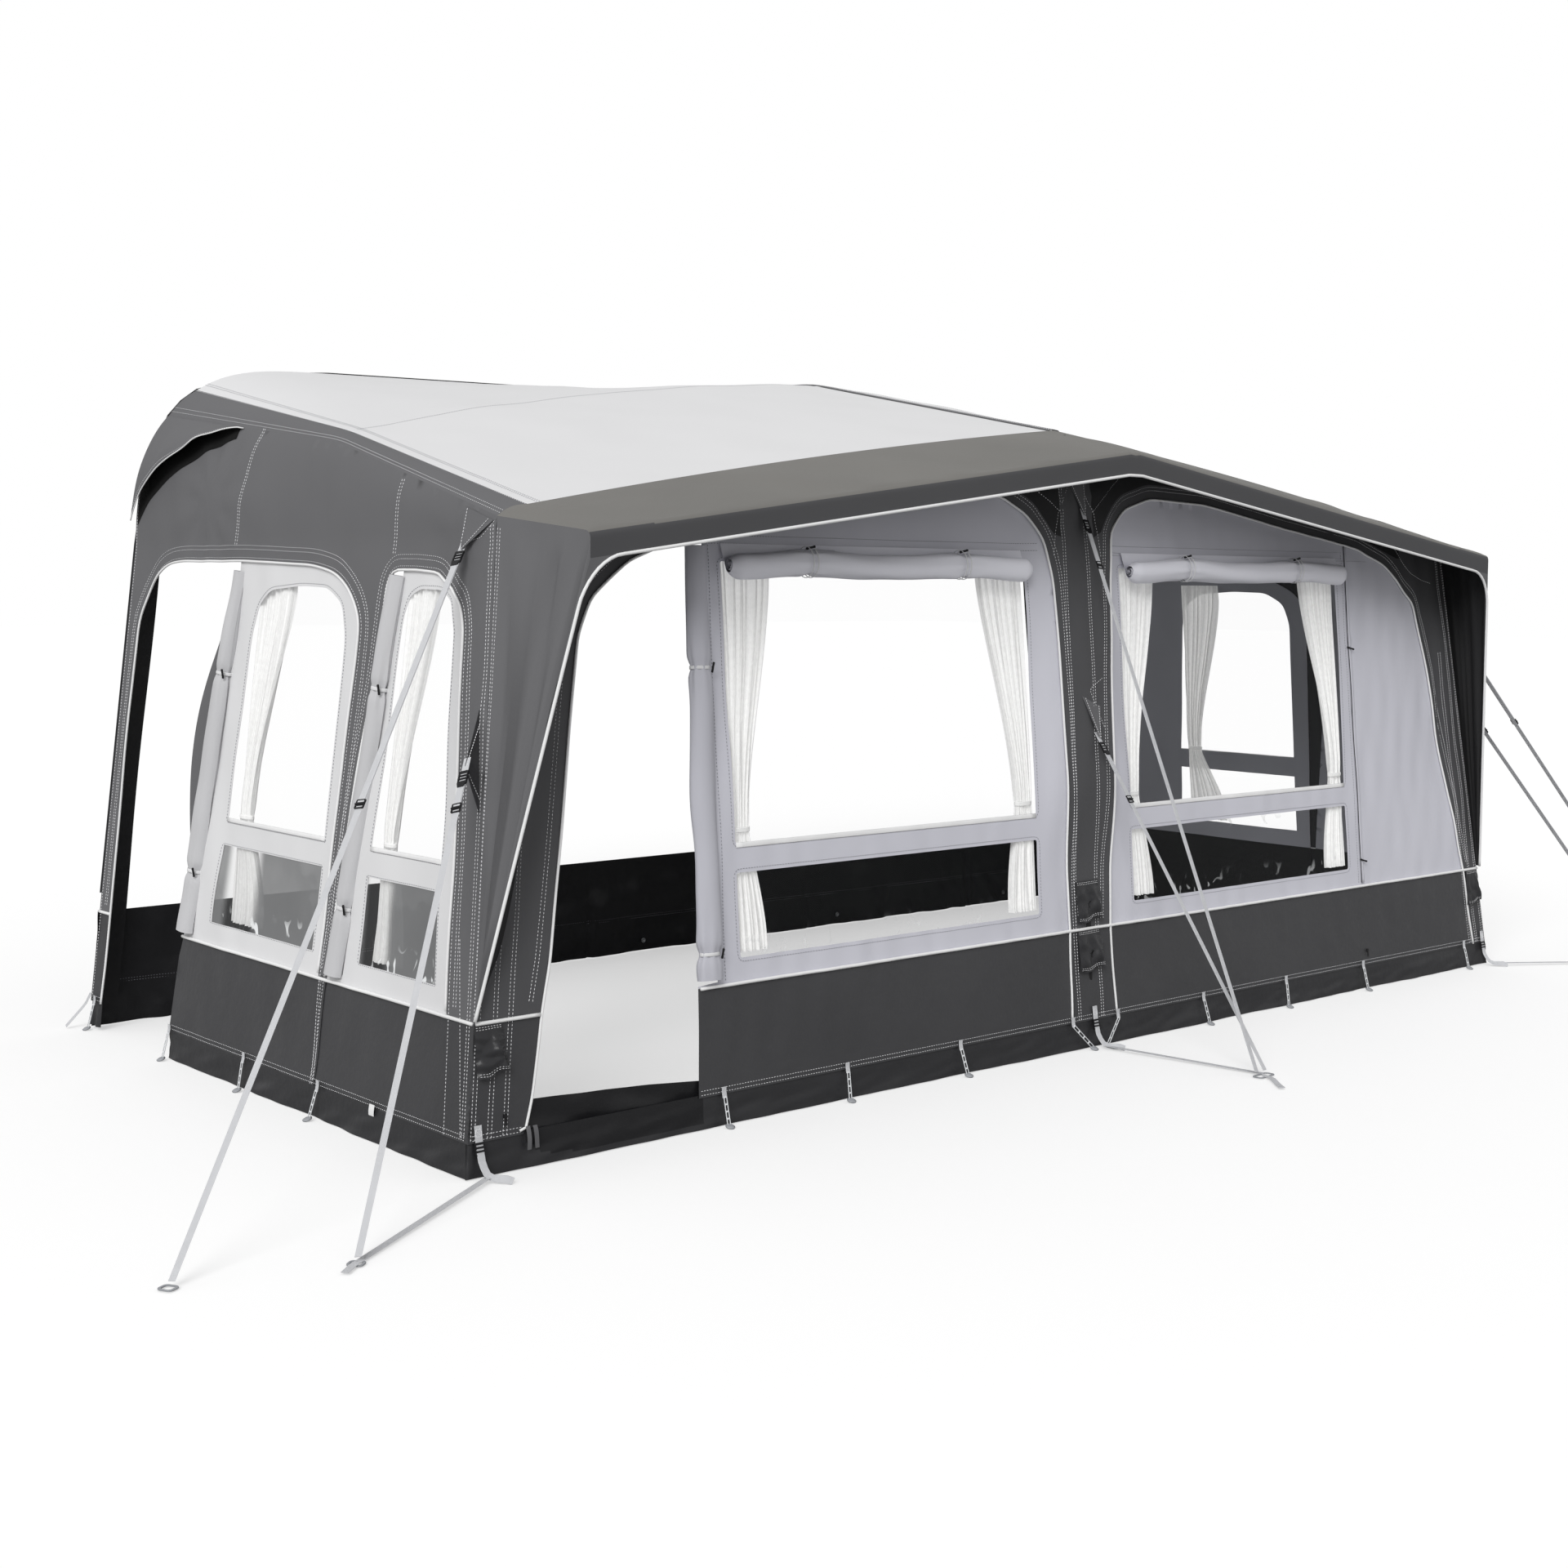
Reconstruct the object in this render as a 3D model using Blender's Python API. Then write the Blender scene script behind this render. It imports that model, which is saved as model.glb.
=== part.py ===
# Caravan awning on an air frame: peaked roof, front hood, two arched front bays and two arched
# openings in each side wall, with window panels, one open front door and one open side door.
# X runs along the front, Y from the front towards the caravan, Z up.
# Outlines are drawn in the wall's own plane, where v is the height above the ground.

import math

import bmesh
import bpy
import numpy as np
from mathutils import Vector

for item in list(bpy.data.objects):
    bpy.data.objects.remove(item)

# Overall sizes, metres
front_width = 5.40
depth = 2.60
side_lean_share = 0.125
front_lean_share = 0.097
fabric = 0.004
seam = 0.0003
hem_height = 0.10
band_height = 0.433
shoulder_height = 1.80

# Roof lines: height at the ridge, height and half width at the light roof's edge
corner_height = 1.863
hood_reach = 0.12
hood_half_width = 2.36
hood_ridge_height = 2.15
hood_drop_share = 1.5
hood_end_height = 1.82
valance_drop = 0.077
fold_radius = 0.025
junction_ridge_y = 0.27
junction_ridge_height = 2.242
junction_edge_y = 0.19
junction_edge_x = 2.36
junction_edge_height = 1.90
junction_bulge = 0.022
crest_ridge_y = 1.574
crest_ridge_height = 2.489
crest_edge_y = 1.13
crest_edge_x = 2.345
crest_edge_height = 2.165
crest_bulge = 0.047
crest_border_y = 1.17
crest_border_x = 2.42
crest_border_height = 2.115
rail_ridge_height = 2.508
rail_edge_x = 2.22
rail_flat_x = 1.60
rail_fall = 0.033
rail_corner_drop = 0.092
rail_border_x = 2.335
rail_border_height = 2.28
border_bulge = 0.008
ridge_strip_half_width = 0.035
ridge_strip_thickness = 0.002
ridge_strip_gap = 0.0014
upper_bend_share = 0.62
edge_pull_share = 0.6
roof_columns = 9
front_rows = 3
rear_rows = 5
upper_columns = 3

# Side wings of the hood
wing_seam = 0.0028
wing_foot_width = 0.0135
wing_foot_height = 0.445
wing_clear_share = 2.0
wing_front_shares = (0.3, 0.7)
wing_back_shares = (0, 0.03, 0.07, 0.35, 0.72, 1)

# Front bays
post_half_width = 0.125
bay_inner_top = 2.06
bay_outer_top_x = 2.20
bay_outer_top = 1.795
bay_foot_x = 2.56
bay_inner_radius = 0.30
bay_outer_radius = 0.32
door_foot_x = 1.76
door_top_x = 1.72
open_band_foot_x = 1.855
open_band_top_x = 1.83
sill_outer_height = 0.19
sill_inner_height = 0.155

# Side arches, measured back from the front ground line
rear_arch_front_foot_y = 0.93
rear_arch_front_top_y = 0.895
rear_arch_margin = 0.10
rear_arch_top = 1.74
rear_arch_radius = 0.17
front_arch_front_foot_y = 0.155
front_arch_front_top_y = 0.311
front_arch_rear_top_y = 0.745
front_arch_rear_foot_y = 0.88
front_arch_top = 1.71
front_arch_radius = 0.15
front_arch_small_radius = 0.02

# Windows
cross_band_low = 0.775
cross_band_high = 0.866
window_bottom = 0.51
front_window_top = 1.745
front_window_inner_x = 0.26
front_window_outer_x = 1.655
window_radius = 0.03
side_window_top = 1.655
rear_window_front_y = 0.945
rear_window_rear_y = 1.67
rear_window_rear_top_y = 1.60
front_window_front_y = 0.265
front_window_front_top_y = 0.35
front_window_rear_y = 0.70
front_window_rear_top_y = 0.65
side_window_big_radius = 0.16
side_window_small_radius = 0.09
film_thickness = 0.002
film_margin = 0.012
access_sides = 12

# Rolled doors and blinds
rear_roll_radius = 0.0355
rear_roll_foot_y = 1.864
rear_roll_top_y = 1.762
front_roll_radius = 0.026
front_roll_foot_y = 0.818
front_roll_top_y = 0.700
bay_roll_radius = 0.028
roll_foot_height = 0.456
side_roll_top_height = 1.685
bay_roll_top_height = 1.79
roll_gap = 0.0004
roll_shares = (0, 0.06, 0.12, 0.17, 0.22, 0.34, 0.5, 0.62, 0.72, 0.82, 0.94, 1)
tie_shares = (0.17, 0.72)
roll_sides = 12
tied_share = 0.80
roll_end_share = 0.85
blind_radius = 0.042
blind_height = 1.742
blind_inner_x = 0.275
blind_outer_x = 1.655
blind_hinge_height = 1.80
blind_sides = 14
blind_steps = 8

# Air frame
pole_radius = 0.055
pole_wall = 0.003
pole_sides = 14
pole_vent_radius = 0.006
pole_bend = 0.16
pole_roof_gap = 0.030
valve_radius = 0.018
valve_height = 0.34
upper_valve_height = 0.52
valve_stand = 0.002
valve_root = 0.006
cap_radius = 0.016
cap_height = 0.011
access_radius = 0.023
flap_half_width = 0.054
centre_flap_half_width = 0.072
flap_above_valve = 0.088
flap_below_valve = 0.068
flap_stand = 0.026
flap_thickness = 0.003
flap_row_share = 0.33
flap_stand_shares = (0.9, 1, 0.85)
side_valve_inset = 0.060

# Vent hood high on the side wall
vent_length = 0.68
vent_seat = 0.0019
vent_stand = 0.06
vent_thickness = 0.003
vent_low_share = 0.80
vent_start_share = 0.06
vent_hem_share = 0.02
vent_slope_share = 0.05
vent_rows = 7
vent_columns = 3

# Straps, buckles and pegs
strap_width = 0.025
strap_thickness = 0.002
guy_side_upper = (0.331, 1.787)
guy_side_lower = (0.165, 1.274)
guy_side_upper_peg = (-3.72, -0.305)
guy_side_lower_peg = (-3.29, -0.43)
guy_centre_upper = (0.03, 1.943)
guy_centre_lower = (0.05, 1.136)
guy_centre_peg_x = 0.10
guy_centre_peg_y = -0.66
guy_reach = 0.82
guy_tail_slope_share = 0.75
slider_shares = {"side_upper": 0.40, "side_lower": 0.16, "centre_upper": 0.10, "centre_lower": 0.20}
slider_length = 0.022
slider_wall = 0.004
buckle_length = 0.055
buckle_wall = 0.006
buckle_setback = 0.030
ring_length = 0.040
ring_width = 0.044
centre_ring_width = 0.090
ring_wall = 0.007
ring_thickness = 0.005
anchor_top = 0.145
anchor_inset = 0.045
anchor_foot = 0.070
anchor_lock_height = 0.085
anchor_meet_share = 0.6
lock_thickness_share = 0.9
ground_strap_share = 0.8
zip_width = 0.012
zip_length = 0.030
zip_thickness = 0.006
zip_height = 0.15
zip_offset = 0.012

# Curtains
curtain_thickness = 0.003
curtain_swing = 0.015
curtain_gap = 0.0005
curtain_top_width = 0.22
curtain_tied_width = 0.10
curtain_tie_share = 0.7
post_flare_share = 1.2
door_flare_share = 1.5
front_side_flare_share = 1.6
curtain_folds = 4
curtain_columns = 20
curtain_rows = 6

# Caravan side
bead_radius = 0.006
bead_foot_height = 0.50
bead_sides = 8
skirt_height = 0.43

half_width = front_width / 2
back_edge = depth + seam + 2 * bead_radius
plan_shift = (guy_reach - back_edge) / 2
front_tilt = math.hypot(1, front_lean_share)
side_tilt = math.hypot(1, side_lean_share)

cloth_rough = 0.7
film_rough = 0.08
band_rough = 0.35
tube_rough = 0.5
cap_rough = 0.4
zip_rough = 0.3
curtain_rough = 0.9
along_limit_share = 0.9
grey_roof = (0.72, 0.73, 0.73)
grey_dark = (0.10, 0.10, 0.105)
grey_band = (0.035, 0.035, 0.038)
grey_panel = (0.46, 0.46, 0.51)
grey_side = (0.68, 0.68, 0.68)
grey_strap = (0.50, 0.50, 0.50)
black = (0.012, 0.012, 0.013)
white = (0.80, 0.80, 0.78)
clear = (0.62, 0.66, 0.68)


def material_for(name, colour, rough):
    made = bpy.data.materials.new(name)
    made.use_nodes = True
    shader = made.node_tree.nodes["Principled BSDF"]
    shader.inputs["Base Color"].default_value = (*colour, 1)
    shader.inputs["Roughness"].default_value = rough
    return made


def make(name, solids, colour, rough=cloth_rough, pivot=(0, 0, 0)):
    """Joins closed solids, given as (points, faces), into one object with its origin at pivot."""
    points = []
    faces = []
    for solid_points, solid_faces in solids:
        start = len(points)
        points += [Vector(p) - Vector(pivot) for p in solid_points]
        faces += [[start + i for i in face] for face in solid_faces]
    mesh = bpy.data.meshes.new(name)
    mesh.from_pydata(points, [], faces)
    work = bmesh.new()
    work.from_mesh(mesh)
    bmesh.ops.recalc_face_normals(work, faces=work.faces)
    work.to_mesh(mesh)
    work.free()
    made = bpy.data.objects.new(name, mesh)
    made.location = Vector(pivot) + Vector((0, plan_shift, 0))
    mesh.materials.append(material_for(name, colour, rough))
    bpy.context.scene.collection.objects.link(made)
    return made


def fused(name, solids, colour, rough=cloth_rough, pivot=(0, 0, 0)):
    """One object made of overlapping solids, joined by Boolean unions with hidden helpers."""
    made = make(name, solids[:1], colour, rough, pivot)
    for index, solid in enumerate(solids[1:]):
        helper = make(name + "_join_" + str(index), [solid], colour, rough, pivot)
        helper.hide_render = True
        helper.display_type = "WIRE"
        union = made.modifiers.new("join_" + str(index), "BOOLEAN")
        union.operation = "UNION"
        union.solver = "EXACT"
        union.object = helper
    return made


def mirrored(solid):
    points, faces = solid
    return [(-p[0], p[1], p[2]) for p in points], [list(reversed(f)) for f in faces]


def on_front(x, v, w=0):
    """Front wall plane: x along the wall, v height, w depth behind the outer face."""
    return Vector((x, front_lean_share * v + w / front_tilt, v - w * front_lean_share / front_tilt))


def on_left(y, v, w=0):
    """Left wall plane: y from the front, v height, w depth inside the outer face."""
    x = -half_width + side_lean_share * v + w / side_tilt
    return Vector((x, y, v - w * side_lean_share / side_tilt))


def blend(a, b, share):
    return np.asarray(a, float) * (1 - share) + np.asarray(b, float) * share


def rounded(corners, radii, steps=6):
    """Outline whose corners are replaced by arcs of the given radii."""
    points = []
    for index, corner in enumerate(corners):
        radius = radii[index]
        here = Vector(corner)
        if radius == 0:
            points.append(tuple(here))
            continue
        before = (Vector(corners[index - 1]) - here).normalized()
        after = (Vector(corners[(index + 1) % len(corners)]) - here).normalized()
        half = math.acos(max(-1, min(1, before.dot(after)))) / 2
        centre = here + (before + after).normalized() * (radius / math.sin(half))
        first = here + before * (radius / math.tan(half)) - centre
        last = here + after * (radius / math.tan(half)) - centre
        start = math.atan2(first.y, first.x)
        turn = (math.atan2(last.y, last.x) - start + math.pi) % (2 * math.pi) - math.pi
        for step in range(steps + 1):
            angle = start + turn * step / steps
            points.append((centre.x + radius * math.cos(angle), centre.y + radius * math.sin(angle)))
    return points


def plate(outline, holes, place, near=0, far=fabric):
    """Flat cloth: an outline with holes, filled and given a thickness from near to far."""
    work = bmesh.new()
    for loop in [outline] + list(holes):
        ring = [work.verts.new((u, v, 0)) for u, v in loop]
        for index, vertex in enumerate(ring):
            work.edges.new((ring[index - 1], vertex))
    bmesh.ops.triangle_fill(work, use_beauty=True, use_dissolve=False, edges=work.edges[:])
    grown = bmesh.ops.extrude_face_region(work, geom=work.faces[:])
    raised = {item for item in grown["geom"] if isinstance(item, bmesh.types.BMVert)}
    work.verts.index_update()
    points = [place(v.co.x, v.co.y, far if v in raised else near) for v in work.verts]
    faces = [[v.index for v in face.verts] for face in work.faces]
    work.free()
    return points, faces


def shell(outer, inner):
    """Closed solid between two grids of the same shape."""
    rows, columns = outer.shape[:2]
    count = rows * columns
    points = [tuple(p) for p in outer.reshape(-1, 3)] + [tuple(p) for p in inner.reshape(-1, 3)]
    faces = []
    for row in range(rows - 1):
        for column in range(columns - 1):
            a = row * columns + column
            for face in ([a, a + 1, a + columns + 1], [a, a + columns + 1, a + columns]):
                faces.append(face)
                faces.append([count + i for i in reversed(face)])
    rim = [column for column in range(columns)]
    rim += [row * columns + columns - 1 for row in range(1, rows)]
    rim += [(rows - 1) * columns + column for column in range(columns - 2, -1, -1)]
    rim += [row * columns for row in range(rows - 2, 0, -1)]
    for index, a in enumerate(rim):
        b = rim[(index + 1) % len(rim)]
        faces.append([a, b, count + b, count + a])
    return points, faces


def pulled(grid, first_row=0, last_row=0, first_column=0, last_column=0):
    """Copy of a grid whose border rows and columns are drawn in by small lengths."""
    grid = grid.copy()

    def draw(edge, inside, length):
        step = inside - edge
        return edge + step / np.linalg.norm(step, axis=-1, keepdims=True) * length

    grid[0] = draw(grid[0], grid[1], first_row) if first_row else grid[0]
    grid[-1] = draw(grid[-1], grid[-2], last_row) if last_row else grid[-1]
    grid[:, 0] = draw(grid[:, 0], grid[:, 1], first_column) if first_column else grid[:, 0]
    grid[:, -1] = draw(grid[:, -1], grid[:, -2], last_column) if last_column else grid[:, -1]
    return grid


def outward_normals(grid, inside):
    """Unit normals of a grid of points, pointing away from the point inside."""
    along = np.gradient(grid, axis=0)
    across = np.gradient(grid, axis=1)
    normal = np.cross(along, across)
    normal /= np.linalg.norm(normal, axis=-1, keepdims=True)
    away = np.sum(normal * (grid - np.asarray(inside)), axis=-1, keepdims=True)
    return np.where(away < 0, -normal, normal)


def frames_along(path):
    """Unit tangents and two cross directions that turn as little as they can along a path."""
    path = [Vector(p) for p in path]
    tangents = []
    for index in range(len(path)):
        before = path[max(index - 1, 0)]
        after = path[min(index + 1, len(path) - 1)]
        tangents.append((after - before).normalized())
    guide = Vector((1, 0, 0)) if abs(tangents[0].x) < along_limit_share else Vector((0, 1, 0))
    sides = []
    for tangent in tangents:
        guide = (guide - tangent * guide.dot(tangent)).normalized()
        sides.append((guide.copy(), tangent.cross(guide)))
    return path, tangents, sides


def rings_to_solid(rings):
    """Closes a stack of equal rings with end faces."""
    sides = len(rings[0])
    points = [p for ring in rings for p in ring]
    faces = []
    for index in range(len(rings) - 1):
        for side in range(sides):
            a = index * sides + side
            b = index * sides + (side + 1) % sides
            faces.append([a, b, b + sides, a + sides])
    faces.append(list(range(sides)))
    faces.append(list(range((len(rings) - 1) * sides, len(rings) * sides)))
    return points, faces


def circle_ring(centre, side, up, radius, sides):
    ring = []
    for index in range(sides):
        angle = 2 * math.pi * index / sides
        ring.append(centre + side * (radius * math.cos(angle)) + up * (radius * math.sin(angle)))
    return ring


def tube(path, radii, sides):
    """Solid round bar along a path, with one radius or one for each point."""
    path, tangents, frames = frames_along(path)
    if not isinstance(radii, (list, tuple)):
        radii = [radii] * len(path)
    rings = []
    for point, (side, up), radius in zip(path, frames, radii):
        rings.append(circle_ring(point, side, up, radius, sides))
    return rings_to_solid(rings)


def air_tube(path, radius, wall, vent, sides):
    """Hollow tube, closed at the far end and with a small vent in the foot."""
    path, tangents, frames = frames_along(path)
    rings = []
    for point, (side, up) in reversed(list(zip(path, frames))):
        rings.append(circle_ring(point, side, up, radius, sides))
    side, up = frames[0]
    rings.append(circle_ring(path[0], side, up, vent, sides))
    inner_foot = path[0] + tangents[0] * wall
    rings.append(circle_ring(inner_foot, side, up, vent, sides))
    rings.append(circle_ring(inner_foot, side, up, radius - wall, sides))
    for index in range(1, len(path) - 1):
        side, up = frames[index]
        rings.append(circle_ring(path[index], side, up, radius - wall, sides))
    side, up = frames[-1]
    rings.append(circle_ring(path[-1] - tangents[-1] * wall, side, up, radius - wall, sides))
    return rings_to_solid(rings)


def cross_directions(start, end, flat=None):
    """Direction of a strap, its width direction and its thickness direction."""
    along = (Vector(end) - Vector(start)).normalized()
    across = Vector(flat) if flat else along.cross(Vector((0, 0, 1)))
    across = (across - along * across.dot(along)).normalized()
    return along, across, along.cross(across)


def rectangle(centre, across, through, width, thickness):
    a = across * (width / 2)
    t = through * (thickness / 2)
    return [centre + a + t, centre - a + t, centre - a - t, centre + a - t]


def bar(start, end, width, thickness, flat=None):
    """Straight strap of rectangular section."""
    along, across, through = cross_directions(start, end, flat)
    rings = [rectangle(Vector(p), across, through, width, thickness) for p in (start, end)]
    return rings_to_solid(rings)


def clear_of_plane(attach, target, normal, width, thickness):
    """Start of a strap whose nearest corner stays one seam off the wall that it leaves."""
    along, across, through = cross_directions(attach, target)
    normal = Vector(normal).normalized()
    reach = abs(across.dot(normal)) * width / 2 + abs(through.dot(normal)) * thickness / 2
    return Vector(attach) + along * ((reach + seam) / along.dot(normal))


# Roof and upper wall of the right half: rows run from the hood seam to the caravan rail
def junction_line(u):
    bulge = junction_bulge * 4 * u * (1 - u)
    return np.array([u * junction_edge_x, junction_ridge_y + (junction_edge_y - junction_ridge_y) * u,
                     junction_ridge_height + (junction_edge_height - junction_ridge_height) * u + bulge])


def crest_line(u):
    bulge = crest_bulge * 4 * u * (1 - u)
    return np.array([u * crest_edge_x, crest_ridge_y + (crest_edge_y - crest_ridge_y) * u,
                     crest_ridge_height + (crest_edge_height - crest_ridge_height) * u + bulge])


def rail_line(u):
    x = u * rail_edge_x
    corner = max(0, (x - rail_flat_x) / (rail_edge_x - rail_flat_x)) ** 3
    return np.array([x, depth, rail_ridge_height - rail_fall * u - rail_corner_drop * corner])


def side_x(v):
    return half_width - side_lean_share * v


wall_back = fabric * front_tilt + 2 * seam
border_stations = (
    np.array([side_x(corner_height), front_lean_share * corner_height + wall_back, corner_height]),
    np.array([crest_border_x, crest_border_y, crest_border_height]),
    np.array([rail_border_x, depth, rail_border_height]))
shoulder_stations = (
    np.array([side_x(shoulder_height), front_lean_share * shoulder_height + wall_back, shoulder_height]),
    np.array([side_x(shoulder_height), crest_border_y, shoulder_height]),
    np.array([side_x(shoulder_height), depth, shoulder_height]))


def station(three, t):
    """Point on a line through three stations, t from 0 to 2."""
    return blend(three[0], three[1], t) if t <= 1 else blend(three[1], three[2], t - 1)


def upper_wall_point(t, s):
    """Upper side wall: s from 0 at the shoulder to 1 at the roof border."""
    low = station(shoulder_stations, t)
    high = station(border_stations, t)
    bend = low[2] + (high[2] - low[2]) * upper_bend_share
    middle = np.array([side_x(bend), (low[1] + high[1]) / 2, bend])
    return low * (1 - s) ** 2 + middle * (2 * s * (1 - s)) + high * s ** 2


def section(t):
    """One cross-section of the roof and upper wall, from the ridge to the shoulder."""
    points = []
    for index in range(roof_columns):
        u = index / (roof_columns - 1)
        lines = (junction_line(u), crest_line(u), rail_line(u))
        points.append(station(lines, t))
    edge = points[-1]
    border = station(border_stations, t)
    outward = np.array([edge[2] - border[2], 0, border[0] - edge[0]])
    outward /= np.linalg.norm(outward)
    points.append((edge + border) / 2 + outward * border_bulge)
    points.append(border)
    for index in range(1, upper_columns + 1):
        points.append(upper_wall_point(t, 1 - index / upper_columns))
    return points


row_stations = [index / front_rows for index in range(front_rows)]
row_stations += [1 + index / rear_rows for index in range(rear_rows + 1)]
skin = np.array([section(t) for t in row_stations])
skin_middle = (0, depth / 2, shoulder_height / 2)
skin_normals = outward_normals(skin, skin_middle)
skin_normals[:, 0, 0] = 0
skin_normals[:, 0] /= np.linalg.norm(skin_normals[:, 0], axis=-1, keepdims=True)
skin_inner = skin - skin_normals * fabric
edge_index = roof_columns - 1
border_index = edge_index + 2
pull = edge_pull_share * seam


def skin_part(first, last, ends):
    outer = pulled(skin[:, first:last + 1], *ends)
    inner = pulled(skin_inner[:, first:last + 1], *ends)
    return shell(outer, inner)


def build_roof():
    roof = skin_part(0, edge_index, (seam, 0, pull, pull))
    make("roof_right", [roof], grey_roof)
    make("roof_left", [mirrored(roof)], grey_roof)
    upper = skin_part(edge_index, border_index + upper_columns, (seam, 0, pull, pull))
    make("upper_side_right", [upper], grey_dark)
    make("upper_side_left", [mirrored(upper)], grey_dark)
    share = ridge_strip_half_width / skin[0, 1, 0]
    side = blend(skin[:, 0], skin[:, 1], share)
    ridge = skin[:, 0]
    other = side * np.array([-1, 1, 1])
    low = np.stack([other, ridge, side], axis=1) + np.array([0, 0, ridge_strip_gap])
    high = low + np.array([0, 0, ridge_strip_thickness])
    make("ridge_strip", [shell(high, low)], grey_dark)


# Front hood: back row on the hood seam, over the front fold and down the valance
def hood_grid():
    back = skin[0, :border_index + 1]
    share = (back[:, 0] / back[-1, 0])[:, None]
    fold_ridge = np.array([0, -hood_reach, hood_ridge_height])
    fold_end = np.array([hood_half_width, -hood_reach, hood_end_height])
    fold = fold_ridge * (1 - share) + fold_end * share
    top = fold + (back - fold) / np.linalg.norm(back - fold, axis=1, keepdims=True) * fold_radius
    low = fold - np.array([0, 0, fold_radius])
    bottom = fold - np.array([0, 0, valance_drop])
    turn = top / 4 + fold / 2 + low / 4
    rows = [back, (back + top) / 2, top, turn, low, bottom]
    half = np.stack(rows, axis=0)
    left = half[:, :0:-1] * np.array([-1, 1, 1])
    return np.concatenate([left, half], axis=1)


hood = hood_grid()
hood_middle = (0, junction_ridge_y, shoulder_height)


def build_hood():
    normals = outward_normals(hood, hood_middle)
    inner = hood - normals * fabric
    back = skin_inner[0, :border_index + 1]
    inner[0] = np.concatenate([back[:0:-1] * np.array([-1, 1, 1]), back])
    ends = (seam, 0, 0, 0)
    make("front_hood", [shell(pulled(hood, *ends), pulled(inner, *ends))], grey_dark)


def under_hood_line():
    """Top edge of the front wall, just under the hood's cloth, from left to right."""
    line = []
    drop = fabric * hood_drop_share + 2 * seam
    for back, top in zip(hood[0], hood[2]):
        gap_back = back[1] - front_lean_share * back[2]
        gap_top = top[1] - front_lean_share * top[2]
        share = gap_back / (gap_back - gap_top)
        point = back + (top - back) * share
        line.append((point[0], point[2] - drop))
    return line


# Side wings of the hood, from the wall's corner to the free edge with the piping
def build_wings():
    corner_top = Vector(border_stations[0])
    corner_top.x = -corner_top.x
    corner_top.y = front_lean_share * corner_height
    corner_foot = on_left(front_lean_share * wing_foot_height, wing_foot_height)
    end_top = Vector((-hood_half_width, -hood_reach, hood_end_height))
    end_low = Vector((-hood_half_width, -hood_reach, hood_end_height - valance_drop))
    forward = (end_top - corner_top).normalized()
    down = Vector((0, 0, -1))
    under = down * (fabric * wing_clear_share + 2 * seam)
    behind = -forward * (fabric * wing_clear_share + 2 * seam)
    low_front = end_low + behind
    foot_front = corner_foot + forward * wing_foot_width
    foot_back = corner_foot + forward * wing_seam
    fold = end_top + under + behind
    fronts = [fold - forward * fold_radius, fold + down * fold_radius, low_front]
    fronts += [low_front.lerp(foot_front, share) for share in wing_front_shares] + [foot_front]
    top_back = corner_top + forward * wing_seam + under
    backs = [top_back.lerp(foot_back, share) for share in wing_back_shares]
    outer = np.array([[back, front] for back, front in zip(backs, fronts)], dtype=float)
    inward = np.cross(np.array(forward), np.array([0, 0, -1.0]))
    inward *= np.sign(inward[0]) / np.linalg.norm(inward)
    inner = outer + inward * fabric
    wing = shell(outer, inner)
    make("hood_wing_left", [wing], grey_dark)
    make("hood_wing_right", [mirrored(wing)], grey_dark)


# Front wall with its two bays, panels and films
def bay_top(x):
    fall = (bay_inner_top - bay_outer_top) / (bay_outer_top_x - post_half_width)
    return bay_inner_top - fall * (x - post_half_width)


def door_x(v):
    share = (v - hem_height) / (bay_top(door_top_x) - hem_height)
    return door_foot_x + (door_top_x - door_foot_x) * share


def circle_outline(x, v, radius):
    turns = [2 * math.pi * k / access_sides for k in range(access_sides)]
    return [(x + radius * math.cos(t), v + radius * math.sin(t)) for t in turns]


side_valve_x = side_x(valve_height) - side_valve_inset


def build_front_wall():
    edge_low = (side_x(hem_height), hem_height)
    bay = rounded([(bay_foot_x, hem_height), (bay_outer_top_x, bay_outer_top),
                   (post_half_width, bay_inner_top), (post_half_width, hem_height)],
                  [0, bay_outer_radius, bay_inner_radius, 0])
    top = under_hood_line()
    corner = side_x(top[0][1])
    top[0] = (-corner, top[0][1])
    top[-1] = (corner, top[-1][1])
    left_bay = [(-x, v) for x, v in reversed(bay)]
    outline = [(-edge_low[0], edge_low[1])] + top + [edge_low] + bay + left_bay
    holes = [circle_outline(x, valve_height, access_radius) for x in (-side_valve_x, 0, side_valve_x)]
    holes.append(circle_outline(0, upper_valve_height, access_radius))
    make("front_wall", [plate(outline, holes, on_front)], grey_dark)


def front_windows():
    upper = rounded([(front_window_inner_x, cross_band_high), (front_window_inner_x, front_window_top),
                     (front_window_outer_x, front_window_top), (front_window_outer_x, cross_band_high)],
                    [window_radius] * 4, 3)
    lower = rounded([(front_window_inner_x, window_bottom), (front_window_inner_x, cross_band_low),
                     (front_window_outer_x, cross_band_low), (front_window_outer_x, window_bottom)],
                    [window_radius] * 4, 3)
    return upper, lower


def film(name, outline, place):
    """Window film for the left or right, given as drawn and as its mirror image."""
    sheet = plate(outline, [], place, fabric + seam, fabric + seam + film_thickness)
    drawn, other = ("right", "left") if place is on_front else ("left", "right")
    make(name.format(drawn), [sheet], clear, film_rough)
    make(name.format(other), [mirrored(sheet)], clear, film_rough)


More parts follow.
